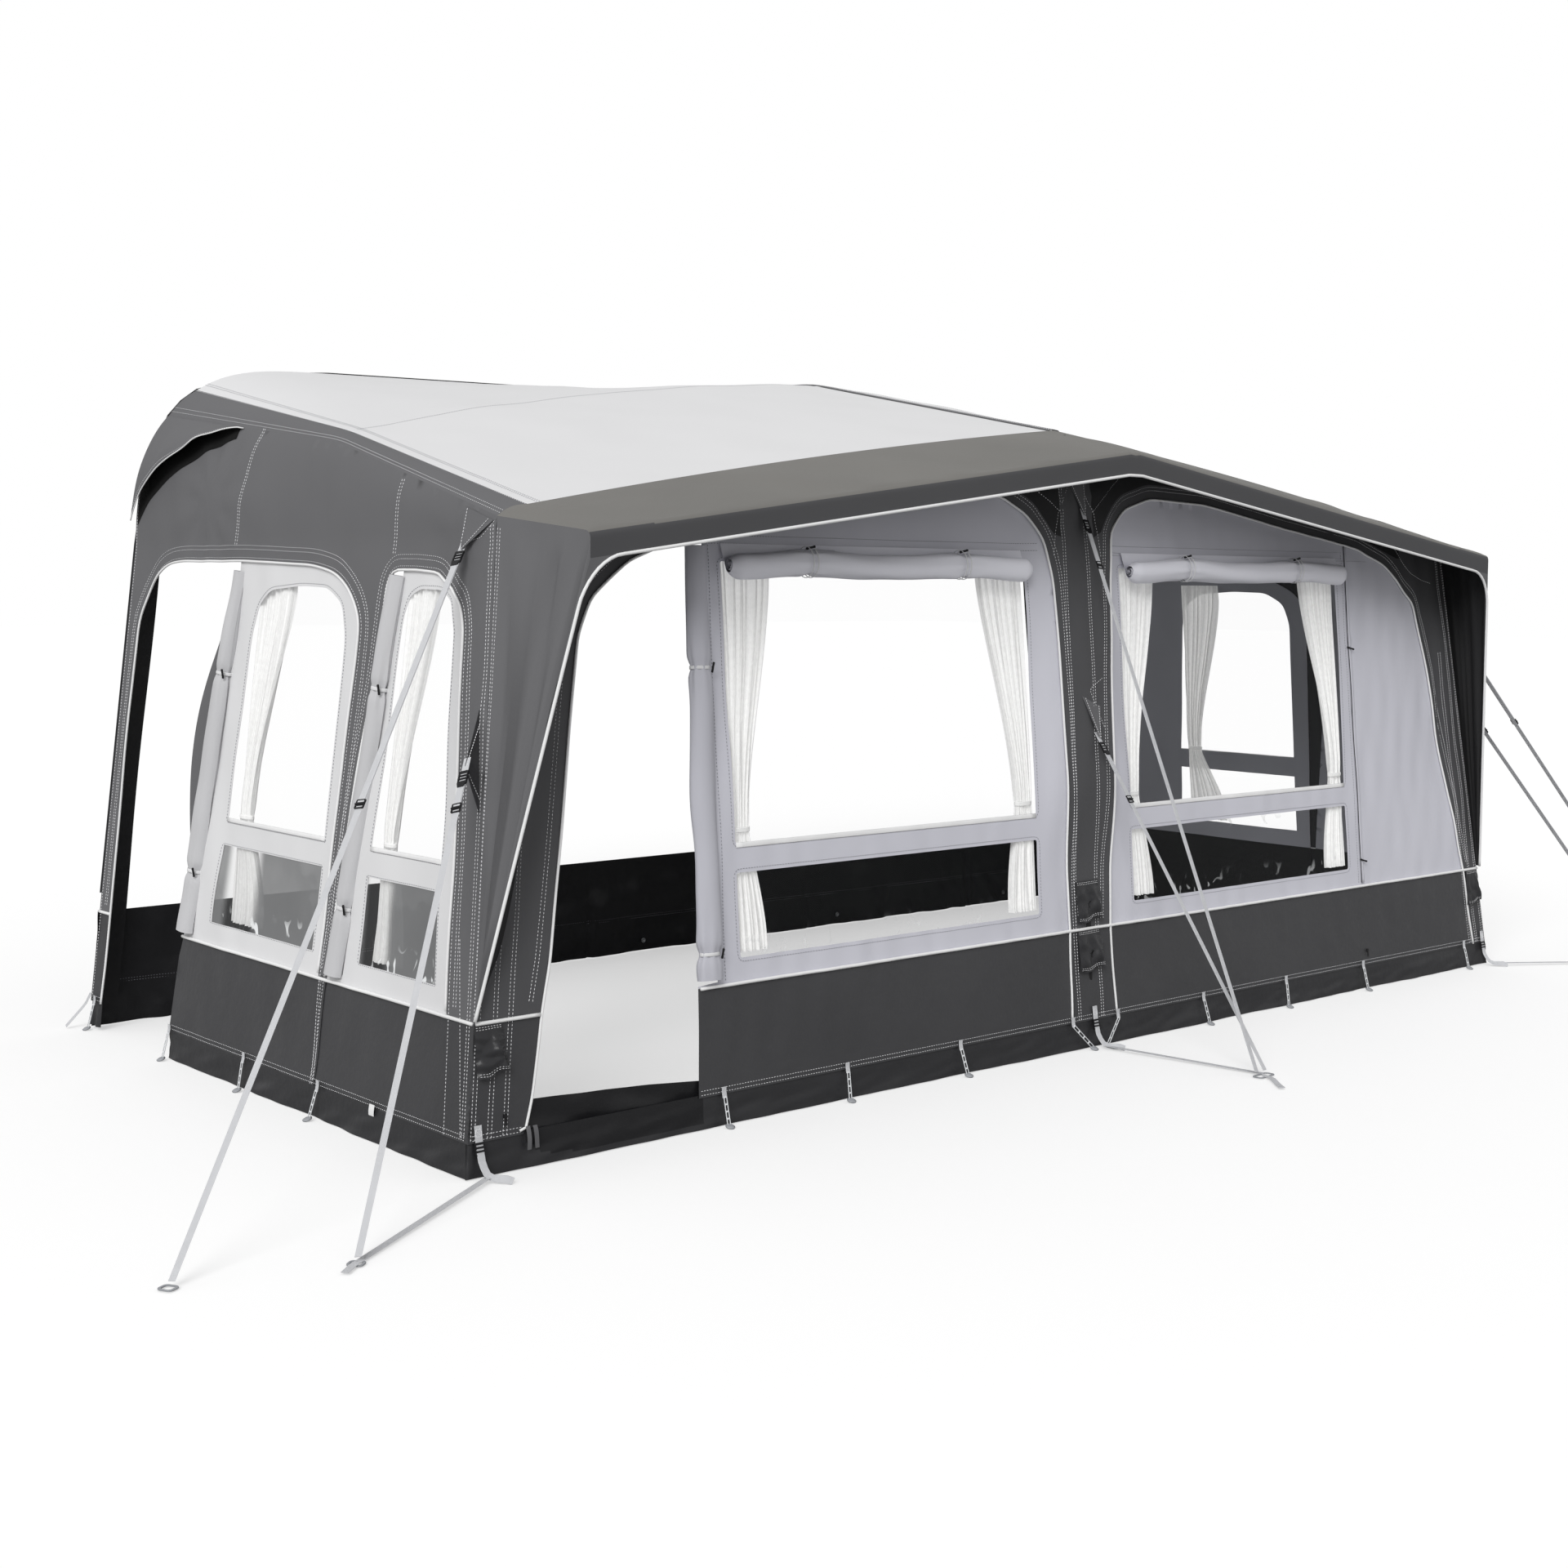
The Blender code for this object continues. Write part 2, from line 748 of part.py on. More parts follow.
def build_films():
    low = window_bottom - film_margin
    inner = front_window_inner_x - film_margin
    outer = front_window_outer_x + film_margin
    top = front_window_top + film_margin
    film("window_film_front_{}", [(inner, low), (inner, top), (outer, top), (outer, low)], on_front)
    top = side_window_top + film_margin
    near = rear_window_front_y - film_margin
    far = rear_window_rear_y + film_margin
    rear = rounded([(near, low), (near, top), (rear_window_rear_top_y + film_margin, top),
                    (far, cross_band_high), (far, low)],
                   [0, side_window_big_radius, side_window_big_radius, 0, 0], 5)
    film("window_film_{}_rear", rear, on_left)
    far = front_window_rear_y + film_margin
    front = rounded([(front_window_front_y - film_margin, low),
                     (front_window_front_y - film_margin, cross_band_high),
                     (front_window_front_top_y - film_margin, top),
                     (front_window_rear_top_y + film_margin, top), (far, cross_band_high), (far, low)],
                    [0, 0, side_window_small_radius, 0, 0, 0], 5)
    film("window_film_{}_front", front, on_left)


def build_front_panels():
    upper, lower = front_windows()
    top_edge = bay_top(door_top_x) - seam
    inner = [(post_half_width + seam, hem_height), (post_half_width + seam, bay_inner_top - seam)]
    closed = rounded(inner + [(door_top_x, top_edge), (door_foot_x, hem_height)],
                     [0, bay_inner_radius, 0, 0])
    make("front_panel_right", [plate(closed, [upper, lower], on_front)], grey_panel)
    door = rounded([(door_foot_x + seam, hem_height), (door_top_x + seam, top_edge),
                    (bay_outer_top_x - seam, bay_outer_top - seam), (bay_foot_x - seam, hem_height)],
                   [0, 0, bay_outer_radius, 0])
    make("front_door_right", [plate(door, [], on_front)], grey_panel)
    step = band_height + 2 * seam
    opened = rounded(inner + [(door_top_x, top_edge), (door_x(step), step),
                              (open_band_top_x, band_height), (open_band_foot_x, hem_height)],
                     [0, bay_inner_radius, 0, 0, 0, 0])
    make("front_panel_left", [mirrored(plate(opened, [upper, lower], on_front))], grey_panel)


# Side walls with two arches each
def rear_arch(gap):
    rear = depth - rear_arch_margin - gap
    return [(rear_arch_front_foot_y + gap, hem_height), (rear_arch_front_top_y + gap, rear_arch_top - gap),
            (rear, rear_arch_top - gap), (rear, hem_height)]


def front_arch(gap):
    return [(front_arch_front_foot_y + gap, hem_height),
            (front_arch_front_top_y + gap, front_arch_top - gap),
            (front_arch_rear_top_y - gap, front_arch_top - gap),
            (front_arch_rear_foot_y - gap, hem_height)]


rear_arch_radii = [0, rear_arch_radius, rear_arch_radius, 0]
front_arch_radii = [0, front_arch_radius, front_arch_small_radius, 0]


def side_windows():
    rear_upper = rounded([(rear_window_front_y, cross_band_high), (rear_window_front_y, side_window_top),
                          (rear_window_rear_top_y, side_window_top),
                          (rear_window_rear_y, cross_band_high)],
                         [0, side_window_big_radius, side_window_big_radius, 0], 5)
    rear_lower = [(rear_window_front_y, window_bottom), (rear_window_front_y, cross_band_low),
                  (rear_window_rear_y, cross_band_low), (rear_window_rear_y, window_bottom)]
    front_upper = rounded([(front_window_front_y, cross_band_high),
                           (front_window_front_top_y, side_window_top),
                           (front_window_rear_top_y, side_window_top),
                           (front_window_rear_y, cross_band_high)],
                          [0, side_window_small_radius, window_radius, 0], 5)
    front_lower = [(front_window_front_y, window_bottom), (front_window_front_y, cross_band_low),
                   (front_window_rear_y, cross_band_low), (front_window_rear_y, window_bottom)]
    return rear_upper, rear_lower, front_upper, front_lower


def roll_line(foot_y, top_y, v):
    share = (v - roll_foot_height) / (side_roll_top_height - roll_foot_height)
    return foot_y + (top_y - foot_y) * share


def free_edge(foot_y, top_y, radius, v):
    """Panel edge beside a rolled door: the roll's line less its radius and a small gap."""
    slope = math.atan((foot_y - top_y) / (side_roll_top_height - roll_foot_height))
    return roll_line(foot_y, top_y, v) - (radius + roll_gap) / math.cos(slope)


def front_edge(v):
    return front_lean_share * v + fabric * front_tilt + seam


def build_side_walls():
    top = shoulder_height - 2 * seam
    arch_rear = rounded(rear_arch(0), rear_arch_radii)
    arch_front = rounded(front_arch(0), front_arch_radii)
    outline = [(front_edge(hem_height), hem_height), (front_edge(top), top), (depth, top),
               (depth, hem_height)] + list(reversed(arch_rear)) + list(reversed(arch_front))
    lower = plate(outline, [], on_left)
    make("side_wall_left", [lower], grey_dark)
    make("side_wall_right", [mirrored(lower)], grey_dark)
    rear_upper, rear_lower, front_upper, front_lower = side_windows()
    closed_rear = rounded(rear_arch(seam), rear_arch_radii)
    closed_front = rounded(front_arch(seam), front_arch_radii)
    right_rear = plate(closed_rear, [rear_upper, rear_lower], on_left)
    right_front = plate(closed_front, [front_upper, front_lower], on_left)
    make("side_panel_right_rear", [mirrored(right_rear)], grey_side)
    make("side_panel_right_front", [mirrored(right_front)], grey_side)
    edge = [free_edge(rear_roll_foot_y, rear_roll_top_y, rear_roll_radius, v)
            for v in (hem_height, rear_arch_top - seam)]
    open_rear = rounded([(rear_arch_front_foot_y + seam, hem_height),
                         (rear_arch_front_top_y + seam, rear_arch_top - seam),
                         (edge[1], rear_arch_top - seam), (edge[0], hem_height)],
                        [0, rear_arch_radius, 0, 0])
    make("side_panel_left_rear", [plate(open_rear, [rear_upper, rear_lower], on_left)], grey_side)
    step = band_height + 2 * seam
    edge = [free_edge(front_roll_foot_y, front_roll_top_y, front_roll_radius, v)
            for v in (step, front_arch_top - seam)]
    share = (step - hem_height) / (front_arch_top - hem_height)
    band_rear = front_arch_rear_foot_y + (front_arch_rear_top_y - front_arch_rear_foot_y) * share
    open_front = rounded([(front_arch_front_foot_y + seam, hem_height),
                          (front_arch_front_top_y + seam, front_arch_top - seam),
                          (edge[1], front_arch_top - seam), (edge[0], step),
                          (band_rear - seam, step), (front_arch_rear_foot_y - seam, hem_height)],
                         [0, front_arch_radius, 0, 0, 0, 0])
    make("side_panel_left_front", [plate(open_front, [front_upper, front_lower], on_left)], grey_side)


# Rolled doors beside the open doorways, drawn in at their two ties
def tied_roll(foot, top, radius):
    path = []
    radii = []
    for share in roll_shares:
        tied = share in tie_shares
        end = share in (0, 1)
        path.append(foot.lerp(top, share))
        radii.append(radius * (tied_share if tied else roll_end_share if end else 1))
    return tube(path, radii, roll_sides)


def build_rolls():
    half = fabric / 2
    ends = (("rear", rear_roll_foot_y, rear_roll_top_y, rear_roll_radius),
            ("front", front_roll_foot_y, front_roll_top_y, front_roll_radius))
    for name, foot_y, top_y, radius in ends:
        foot = on_left(foot_y, roll_foot_height, half)
        top = on_left(top_y, side_roll_top_height, half)
        make("door_roll_left_" + name, [tied_roll(foot, top, radius)], grey_side)
    beside = bay_roll_radius + roll_gap
    foot = on_front(-(door_x(roll_foot_height) + beside), roll_foot_height, half)
    top = on_front(-(door_x(bay_roll_top_height) + beside), bay_roll_top_height, half)
    make("door_roll_front", [tied_roll(foot, top, bay_roll_radius)], grey_panel)


# Rolled blinds above the front windows, hung from a seam on the panel
def build_blinds():
    stand = -(blind_radius + seam)
    for name, sign in (("blind_roll_left", -1), ("blind_roll_right", 1)):
        path = []
        radii = []
        length = blind_outer_x - blind_inner_x
        for index in range(blind_steps + 1):
            along = blind_inner_x + length * index / blind_steps
            path.append(on_front(sign * along, blind_height, stand))
            radii.append(blind_radius * (roll_end_share if index in (0, blind_steps) else 1))
        make(name, [tube(path, radii, blind_sides)], grey_panel, pivot=on_front(0, blind_hinge_height, 0))


# Air frame: three hollow tubes, each a leg and a rafter in one
def smooth_path(points, reach, steps=4):
    """Straight runs joined by round bends that start and end reach away from each corner."""
    path = [Vector(points[0])]
    for index in range(1, len(points) - 1):
        corner = Vector(points[index])
        before = corner + (Vector(points[index - 1]) - corner).normalized() * reach
        after = corner + (Vector(points[index + 1]) - corner).normalized() * reach
        for step in range(steps + 1):
            s = step / steps
            path.append(before * (1 - s) ** 2 + corner * (2 * s * (1 - s)) + after * s ** 2)
    path.append(Vector(points[-1]))
    return path


def foot_point(x):
    flat_radius = pole_radius * math.cos(math.pi / pole_sides)
    y = (flat_radius + fabric) * front_tilt + seam
    return Vector((x, y, 0))


def valve(x, v):
    """Valve body in the access hole, standing just proud of the wall."""
    ends = [on_front(x, v, fabric + valve_root), on_front(x, v, -valve_stand)]
    return tube(ends, valve_radius, pole_sides)


def build_poles():
    inside = pole_radius + fabric + pole_roof_gap
    for name, sign in (("air_pole_left", -1), ("air_pole_right", 1)):
        foot = foot_point(sign * (side_x(0) - pole_radius - fabric - pole_roof_gap / 2))
        height = junction_edge_height - inside
        corner = foot + Vector((-sign * side_lean_share, front_lean_share, 1)) * height
        crest = Vector((sign * (crest_border_x - inside), crest_border_y, crest_border_height - inside))
        rear = Vector((sign * (rail_edge_x - pole_roof_gap), depth - pole_roof_gap,
                       rail_border_height - pole_roof_gap))
        path = smooth_path([foot, corner, crest, rear], pole_bend)
        level_foot(path)
        body = air_tube(path, pole_radius, pole_wall, pole_vent_radius, pole_sides)
        fused(name, [body, valve(sign * side_valve_x, valve_height)], black, tube_rough)
    foot = foot_point(0)
    height = junction_ridge_height - inside
    corner = foot + Vector((0, front_lean_share, 1)) * height
    crest = Vector((0, crest_ridge_y, crest_ridge_height - inside))
    rear = Vector((0, depth - pole_roof_gap, rail_ridge_height - inside))
    path = smooth_path([foot, corner, crest, rear], pole_bend)
    level_foot(path)
    body = air_tube(path, pole_radius, pole_wall, pole_vent_radius, pole_sides)
    valves = [valve(0, valve_height), valve(0, upper_valve_height)]
    fused("air_pole_centre", [body] + valves, black, tube_rough)


def level_foot(path):
    """Adds a short upright start, so that the leg's foot is flat on the ground."""
    first = path[0].copy()
    path[0] = first + (path[1] - first).normalized() * (2 * pole_radius)
    path.insert(0, Vector((path[0].x, path[0].y, 0)))


def build_valve_covers():
    sites = (("left", -side_valve_x, valve_height, flap_half_width),
             ("centre_lower", 0, valve_height, centre_flap_half_width),
             ("centre_upper", 0, upper_valve_height, centre_flap_half_width),
             ("right", side_valve_x, valve_height, flap_half_width))
    for name, x, v, half in sites:
        near = -(valve_stand + seam)
        cap = tube([on_front(x, v, near), on_front(x, v, near - cap_height)], cap_radius, access_sides)
        make("valve_cap_" + name, [cap], black, cap_rough, pivot=on_front(x, v, near))
        top = v + flap_above_valve
        heights = (top, v + flap_above_valve * flap_row_share, v, v - flap_below_valve)
        stands = [seam] + [flap_stand * share for share in flap_stand_shares]
        outer = []
        inner = []
        for height, stand in zip(heights, stands):
            xs = [x + half * share for share in (-1, -flap_row_share, flap_row_share, 1)]
            outer.append([on_front(k, height, -stand - flap_thickness) for k in xs])
            inner.append([on_front(k, height, -stand) for k in xs])
        flap = shell(np.array(outer, dtype=float), np.array(inner, dtype=float))
        make("valve_flap_" + name, [flap], grey_band, band_rough, pivot=on_front(x, top, -seam))


# Vent hoods: a cloth flap that stands off the upper side wall over the vent
def build_vents():
    start = 2 - vent_length / (depth - crest_border_y)
    outer = []
    inner = []
    for row in range(vent_rows + 1):
        f = row / vent_rows
        t = start + (2 - start) * f
        low = 1 - vent_low_share * f
        line_in = []
        line_out = []
        for column in range(vent_columns + 1):
            g = column / vent_columns
            s = 1 + (low - 1) * g
            point = upper_wall_point(t, max(s, vent_hem_share) if f else 1 - vent_start_share * g)
            across = upper_wall_point(t, max(s - vent_slope_share, 0))
            across -= upper_wall_point(t, min(s + vent_slope_share, 1))
            normal = np.array([-across[2], 0, across[0]])
            normal /= np.linalg.norm(normal)
            stand = vent_seat + vent_stand * math.sin(math.pi * f) * g
            line_in.append(point + normal * stand)
            line_out.append(point + normal * (stand + vent_thickness))
        inner.append(line_in)
        outer.append(line_out)
    vent = shell(np.array(outer), np.array(inner))
    make("vent_hood_right", [vent], grey_dark)
    make("vent_hood_left", [mirrored(vent)], grey_dark)


# Curtains with their main folds, drawn to one side and narrower at the tie
def curtain(place, top, low, far_edge, near_edges):
    """Edges are given along the wall: one fixed side, and the other at the top, tie and foot."""
    outer = []
    inner = []
    for row in range(curtain_rows + 1):
        s = row / curtain_rows
        height = top + (low - top) * s
        near = np.interp(s, (0, curtain_tie_share, 1), near_edges)
        line_out = []
        line_in = []
        for column in range(curtain_columns + 1):
            c = column / curtain_columns
            wave = curtain_swing * (1 - math.cos(2 * math.pi * curtain_folds * c))
            w = fabric + seam + film_thickness + curtain_gap + wave
            u = far_edge + (near - far_edge) * c
            line_in.append(place(u, height, w))
            line_out.append(place(u, height, w + curtain_thickness))
        inner.append(line_in)
        outer.append(line_out)
    return shell(np.array(outer, dtype=float), np.array(inner, dtype=float))


def build_curtains():
    top = front_window_top + window_radius
    low = window_bottom + window_radius / 2
    wide = curtain_top_width
    narrow = curtain_tied_width
    inner = front_window_inner_x
    outer = front_window_outer_x
    post_edges = (inner + wide, inner + narrow, inner + narrow * post_flare_share)
    door_edges = (outer - wide, outer - narrow, outer - narrow * door_flare_share)
    by_post = curtain(on_front, top, low, inner, post_edges)
    by_door = curtain(on_front, top, low, outer, door_edges)
    make("curtain_front_right_post", [by_post], white, curtain_rough)
    make("curtain_front_right_door", [by_door], white, curtain_rough)
    make("curtain_front_left_post", [mirrored(by_post)], white, curtain_rough)
    make("curtain_front_left_door", [mirrored(by_door)], white, curtain_rough)
    side_top = side_window_top + window_radius
    rear = rear_window_rear_top_y
    rear_one = curtain(on_left, side_top, low, rear, (rear - wide, rear - narrow, rear - narrow))
    front = front_window_rear_top_y
    front_edges = (front - narrow * front_side_flare_share, front - narrow, front - narrow)
    front_one = curtain(on_left, side_top, low, front, front_edges)
    make("curtain_left_rear", [rear_one], white, curtain_rough)
    make("curtain_left_front", [front_one], white, curtain_rough)
    make("curtain_right_rear", [mirrored(rear_one)], white, curtain_rough)
    make("curtain_right_front", [mirrored(front_one)], white, curtain_rough)


# Mud flap: one band below the hem round three sides, raised into a sill in the open doorway
def build_mud_flap():
    lift = fabric * side_lean_share
    under = hem_height - seam - lift
    sill_left = -bay_foot_x + 2 * seam
    sill_right = -open_band_foot_x - 2 * seam
    sill_slope = (bay_foot_x - bay_outer_top_x) / (bay_outer_top - hem_height)
    sill_shift = sill_slope * (sill_outer_height - hem_height)
    stations = ((-1, depth, under), (-1, None, under), (sill_left - seam, None, under),
                (sill_left, None, sill_outer_height), (sill_right, None, sill_inner_height),
                (sill_right + seam, None, under), (1, None, under), (1, depth, under))
    rows = []
    for depth_in in (0, fabric):
        low = []
        high = []
        for place, y, top in stations:
            for line, v in ((low, lift), (high, top)):
                inset = depth_in * side_tilt
                if abs(place) == 1:
                    x = place * (side_x(v) - inset)
                else:
                    x = place + (sill_shift if v == sill_outer_height else 0)
                front_y = front_lean_share * v + depth_in * front_tilt
                line.append((x, depth if y else front_y, v))
        rows.append(np.array([low, high], dtype=float))
    make("mud_flap", [shell(rows[0], rows[1])], grey_band, band_rough)


def build_rear_skirt():
    """Draught skirt between the two side walls on the caravan side."""
    inset = fabric * side_tilt + seam
    skirt = [(-side_x(0) + inset, 0), (side_x(0) - inset, 0), (side_x(skirt_height) - inset, skirt_height),
             (-side_x(skirt_height) + inset, skirt_height)]
    make("rear_skirt", [plate(skirt, [], lambda x, v, w: (x, depth - w, v))], black, 0.35)


def build_rail_bead():
    """Round bead that slides into the caravan's awning rail, behind the roof and wall edges."""
    right = [tuple(p) for p in skin[-1]]
    right.append((side_x(bead_foot_height), depth, bead_foot_height))
    left = [(-p[0], p[1], p[2]) for p in reversed(right[1:])]
    path = [Vector((p[0], depth + seam + bead_radius, p[2])) for p in left + right]
    lowered = []
    for point in path:
        towards = Vector((0, point.y, shoulder_height)) - point
        lowered.append(point + towards.normalized() * (fabric / 2))
    make("rail_bead", [tube(lowered, bead_radius, bead_sides)], white)


# Guy straps, sliders, buckles and rings
side_normal = Vector((-1, 0, side_lean_share))
front_normal = Vector((0, -1, front_lean_share))
guy_sites = {
    "side_upper": (on_left, guy_side_upper, guy_side_upper_peg, side_normal),
    "side_lower": (on_left, guy_side_lower, guy_side_lower_peg, side_normal),
    "centre_upper": (on_front, guy_centre_upper, (guy_centre_peg_x - strap_width, guy_centre_peg_y),
                     front_normal),
    "centre_lower": (on_front, guy_centre_lower, (guy_centre_peg_x + strap_width, guy_centre_peg_y),
                     front_normal)}


def guy_ends(kind):
    """Ends of a guy strap: just off the wall, and on the ground at its ring."""
    place, spot, peg, normal = guy_sites[kind]
    attach = place(*spot)
    end = Vector((*peg, strap_thickness))
    return clear_of_plane(attach, end, normal, strap_width, strap_thickness), end


def flat_ring(near, towards, width):
    """Rectangular ring flat on the ground, its near bar under the point near."""
    along = Vector((towards[0] - near[0], towards[1] - near[1], 0)).normalized()
    start = Vector((near[0], near[1], 0)) - along * (ring_wall / 2)
    across = Vector((-along.y, along.x, 0))

    def place(u, v, w):
        return start + along * u + across * v + Vector((0, 0, w))

    half = width / 2
    outer = [(0, -half), (ring_length, -half), (ring_length, half), (0, half)]
    low = ring_wall
    high = ring_length - ring_wall
    hole = [(low, low - half), (high, low - half), (high, half - low), (low, half - low)]
    return plate(outer, [hole], place, 0, ring_thickness)


def ground_strap(start, end, share=ground_strap_share):
    lift = strap_thickness / 2
    first = Vector((start[0], start[1], lift))
    last = Vector((end[0], end[1], lift))
    return bar(first, last, strap_width, strap_thickness * share)


def anchor_strap(x):
    """Webbing down the foot of a corner or post, with its flat foot on the ground."""
    stand = -(seam + strap_thickness / 2)
    upright = bar(on_front(x, anchor_top, stand), on_front(x, strap_thickness / 4, stand),
                  strap_width, strap_thickness, (1, 0, 0))
    edge = -2 * seam
    foot = ground_strap((x, edge), (x, edge - anchor_foot), 1)
    lock_stand = stand - slider_wall / 2
    lock = bar(on_front(x, anchor_lock_height, lock_stand),
               on_front(x, anchor_lock_height - slider_length, lock_stand),
               strap_width + 2 * slider_wall, strap_thickness * lock_thickness_share + slider_wall,
               (1, 0, 0))
    return [upright, foot, lock]


def guy(kind):
    """Strap with its side-release buckle near the cloth and its slide lower down."""
    start, end = guy_ends(kind)
    along = (end - start).normalized()
    solids = [bar(start, end, strap_width, strap_thickness)]
    fittings = ((buckle_setback, buckle_length, buckle_wall),
                ((end - start).length * slider_shares[kind], slider_length, slider_wall))
    for at, length, wall in fittings:
        first = start + along * at
        last = first + along * length
        solids.append(bar(first, last, strap_width + 2 * wall, strap_thickness + 2 * wall))
    return solids, start, end


def build_straps():
    solids, start, end = guy("side_upper")
    upper = solids + [flat_ring(end, end + (end - start), ring_width)]
    fused("guy_strap_left_upper", upper, grey_strap)
    fused("guy_strap_right_upper", [mirrored(s) for s in upper], grey_strap)
    solids, start, end = guy("side_lower")
    anchor_x = -side_x(0) + anchor_inset
    lower = solids + [flat_ring(end, end + (end - start), ring_width)] + anchor_strap(anchor_x)
    lower.append(ground_strap(end, (anchor_x, -anchor_foot * anchor_meet_share)))
    fused("guy_strap_left_lower", lower, grey_strap)
    fused("guy_strap_right_lower", [mirrored(s) for s in lower], grey_strap)
    upper, start, upper_end = guy("centre_upper")
    lower, start, lower_end = guy("centre_lower")
    middle = (upper_end + lower_end) / 2
    centre = upper + lower + [flat_ring(middle, middle - Vector((0, 1, 0)), centre_ring_width)]
    slope = guy_tail_slope_share
    tail_start_y = middle.y - ring_length + ring_wall
    tail_end_y = -guy_reach + slope / math.hypot(1, slope) * strap_width / 2
    tail_end_x = middle.x - slope * (tail_start_y - tail_end_y)
    tail = ground_strap((middle.x, tail_start_y), (tail_end_x, tail_end_y))
    back = ground_strap(middle, (0, -anchor_foot * anchor_meet_share))
    centre += anchor_strap(0) + [tail, back]
    fused("guy_strap_centre", centre, grey_strap)


def zip_block(name, x, v, lean_x):
    """Slider on a slanting zip; it runs along the zip's direction."""
    along = (on_front(lean_x, 1) - on_front(0, 0)).normalized()
    centre = on_front(x, v, -(zip_thickness / 2 + seam))
    half = along * (zip_length / 2)
    block = bar(centre - half, centre + half, zip_width, zip_thickness, (1, 0, 0))
    make(name, [block], black, zip_rough, pivot=centre)


def build_zips():
    door_slope = (door_top_x - door_foot_x) / (bay_top(door_top_x) - hem_height)
    zip_block("zip_slider_right", door_x(zip_height), zip_height, door_slope)
    arch_slope = (bay_foot_x - bay_outer_top_x) / (bay_outer_top - hem_height)
    arch_x = bay_foot_x - arch_slope * (zip_height - hem_height)
    zip_block("zip_slider_left", -arch_x - zip_offset, zip_height, arch_slope)


def main():
    build_roof()
    build_hood()
    build_wings()
    build_front_wall()
    build_front_panels()
    build_side_walls()
    build_films()
    build_rolls()
    build_blinds()
    build_poles()
    build_valve_covers()
    build_vents()
    build_curtains()
    build_mud_flap()
    build_rear_skirt()
    build_rail_bead()
    build_straps()
    build_zips()


main()
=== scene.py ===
import math
import bpy
import numpy as np
from mathutils import Matrix, Vector
from mathutils.geometry import delaunay_2d_cdt


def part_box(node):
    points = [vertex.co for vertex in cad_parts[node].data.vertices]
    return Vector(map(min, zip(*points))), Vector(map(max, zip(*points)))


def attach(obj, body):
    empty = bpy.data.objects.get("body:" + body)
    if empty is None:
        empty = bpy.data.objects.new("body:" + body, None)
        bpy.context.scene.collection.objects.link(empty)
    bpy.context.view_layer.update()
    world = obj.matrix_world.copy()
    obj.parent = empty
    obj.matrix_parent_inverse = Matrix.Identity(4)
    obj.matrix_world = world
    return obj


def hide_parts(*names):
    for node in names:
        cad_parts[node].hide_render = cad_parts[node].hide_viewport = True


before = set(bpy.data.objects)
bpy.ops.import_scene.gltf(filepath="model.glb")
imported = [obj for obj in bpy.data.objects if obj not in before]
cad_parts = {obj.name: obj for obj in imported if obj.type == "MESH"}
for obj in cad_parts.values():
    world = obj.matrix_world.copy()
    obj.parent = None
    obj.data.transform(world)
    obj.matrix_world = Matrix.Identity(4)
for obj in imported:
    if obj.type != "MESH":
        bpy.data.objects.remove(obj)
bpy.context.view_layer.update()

# Drawn like the part's own plan: x along the front, y back from the front ground line, z up.
# moveY carries a finished mesh from there to the frame.
awning = {"halfWidth": 2.70, "depth": 2.60, "sideLean": 0.125, "frontLean": 0.097,
          "shoulder": 1.80, "hem": 0.10, "band": 0.433, "moveY": -0.89615,
          "grid": 0.03, "cloth": 0.0016}
bandTop = awning["band"]  # upper edge of the wipe-clean band
frontTilt = math.hypot(1, awning["frontLean"])
frontOut = np.array([0, -1, awning["frontLean"]])
middle = np.array([0.0, 1.3, 1.0])  # a point inside, which outer faces look away from
bothSides = (("left", -1), ("right", 1))
# distances out of a surface, for what lies on or behind it
layer = {"panel": -0.003, "film": -0.0055, "stitch": 0.001, "panelStitch": -0.0018, "cross": -0.0016}


# Shader maths

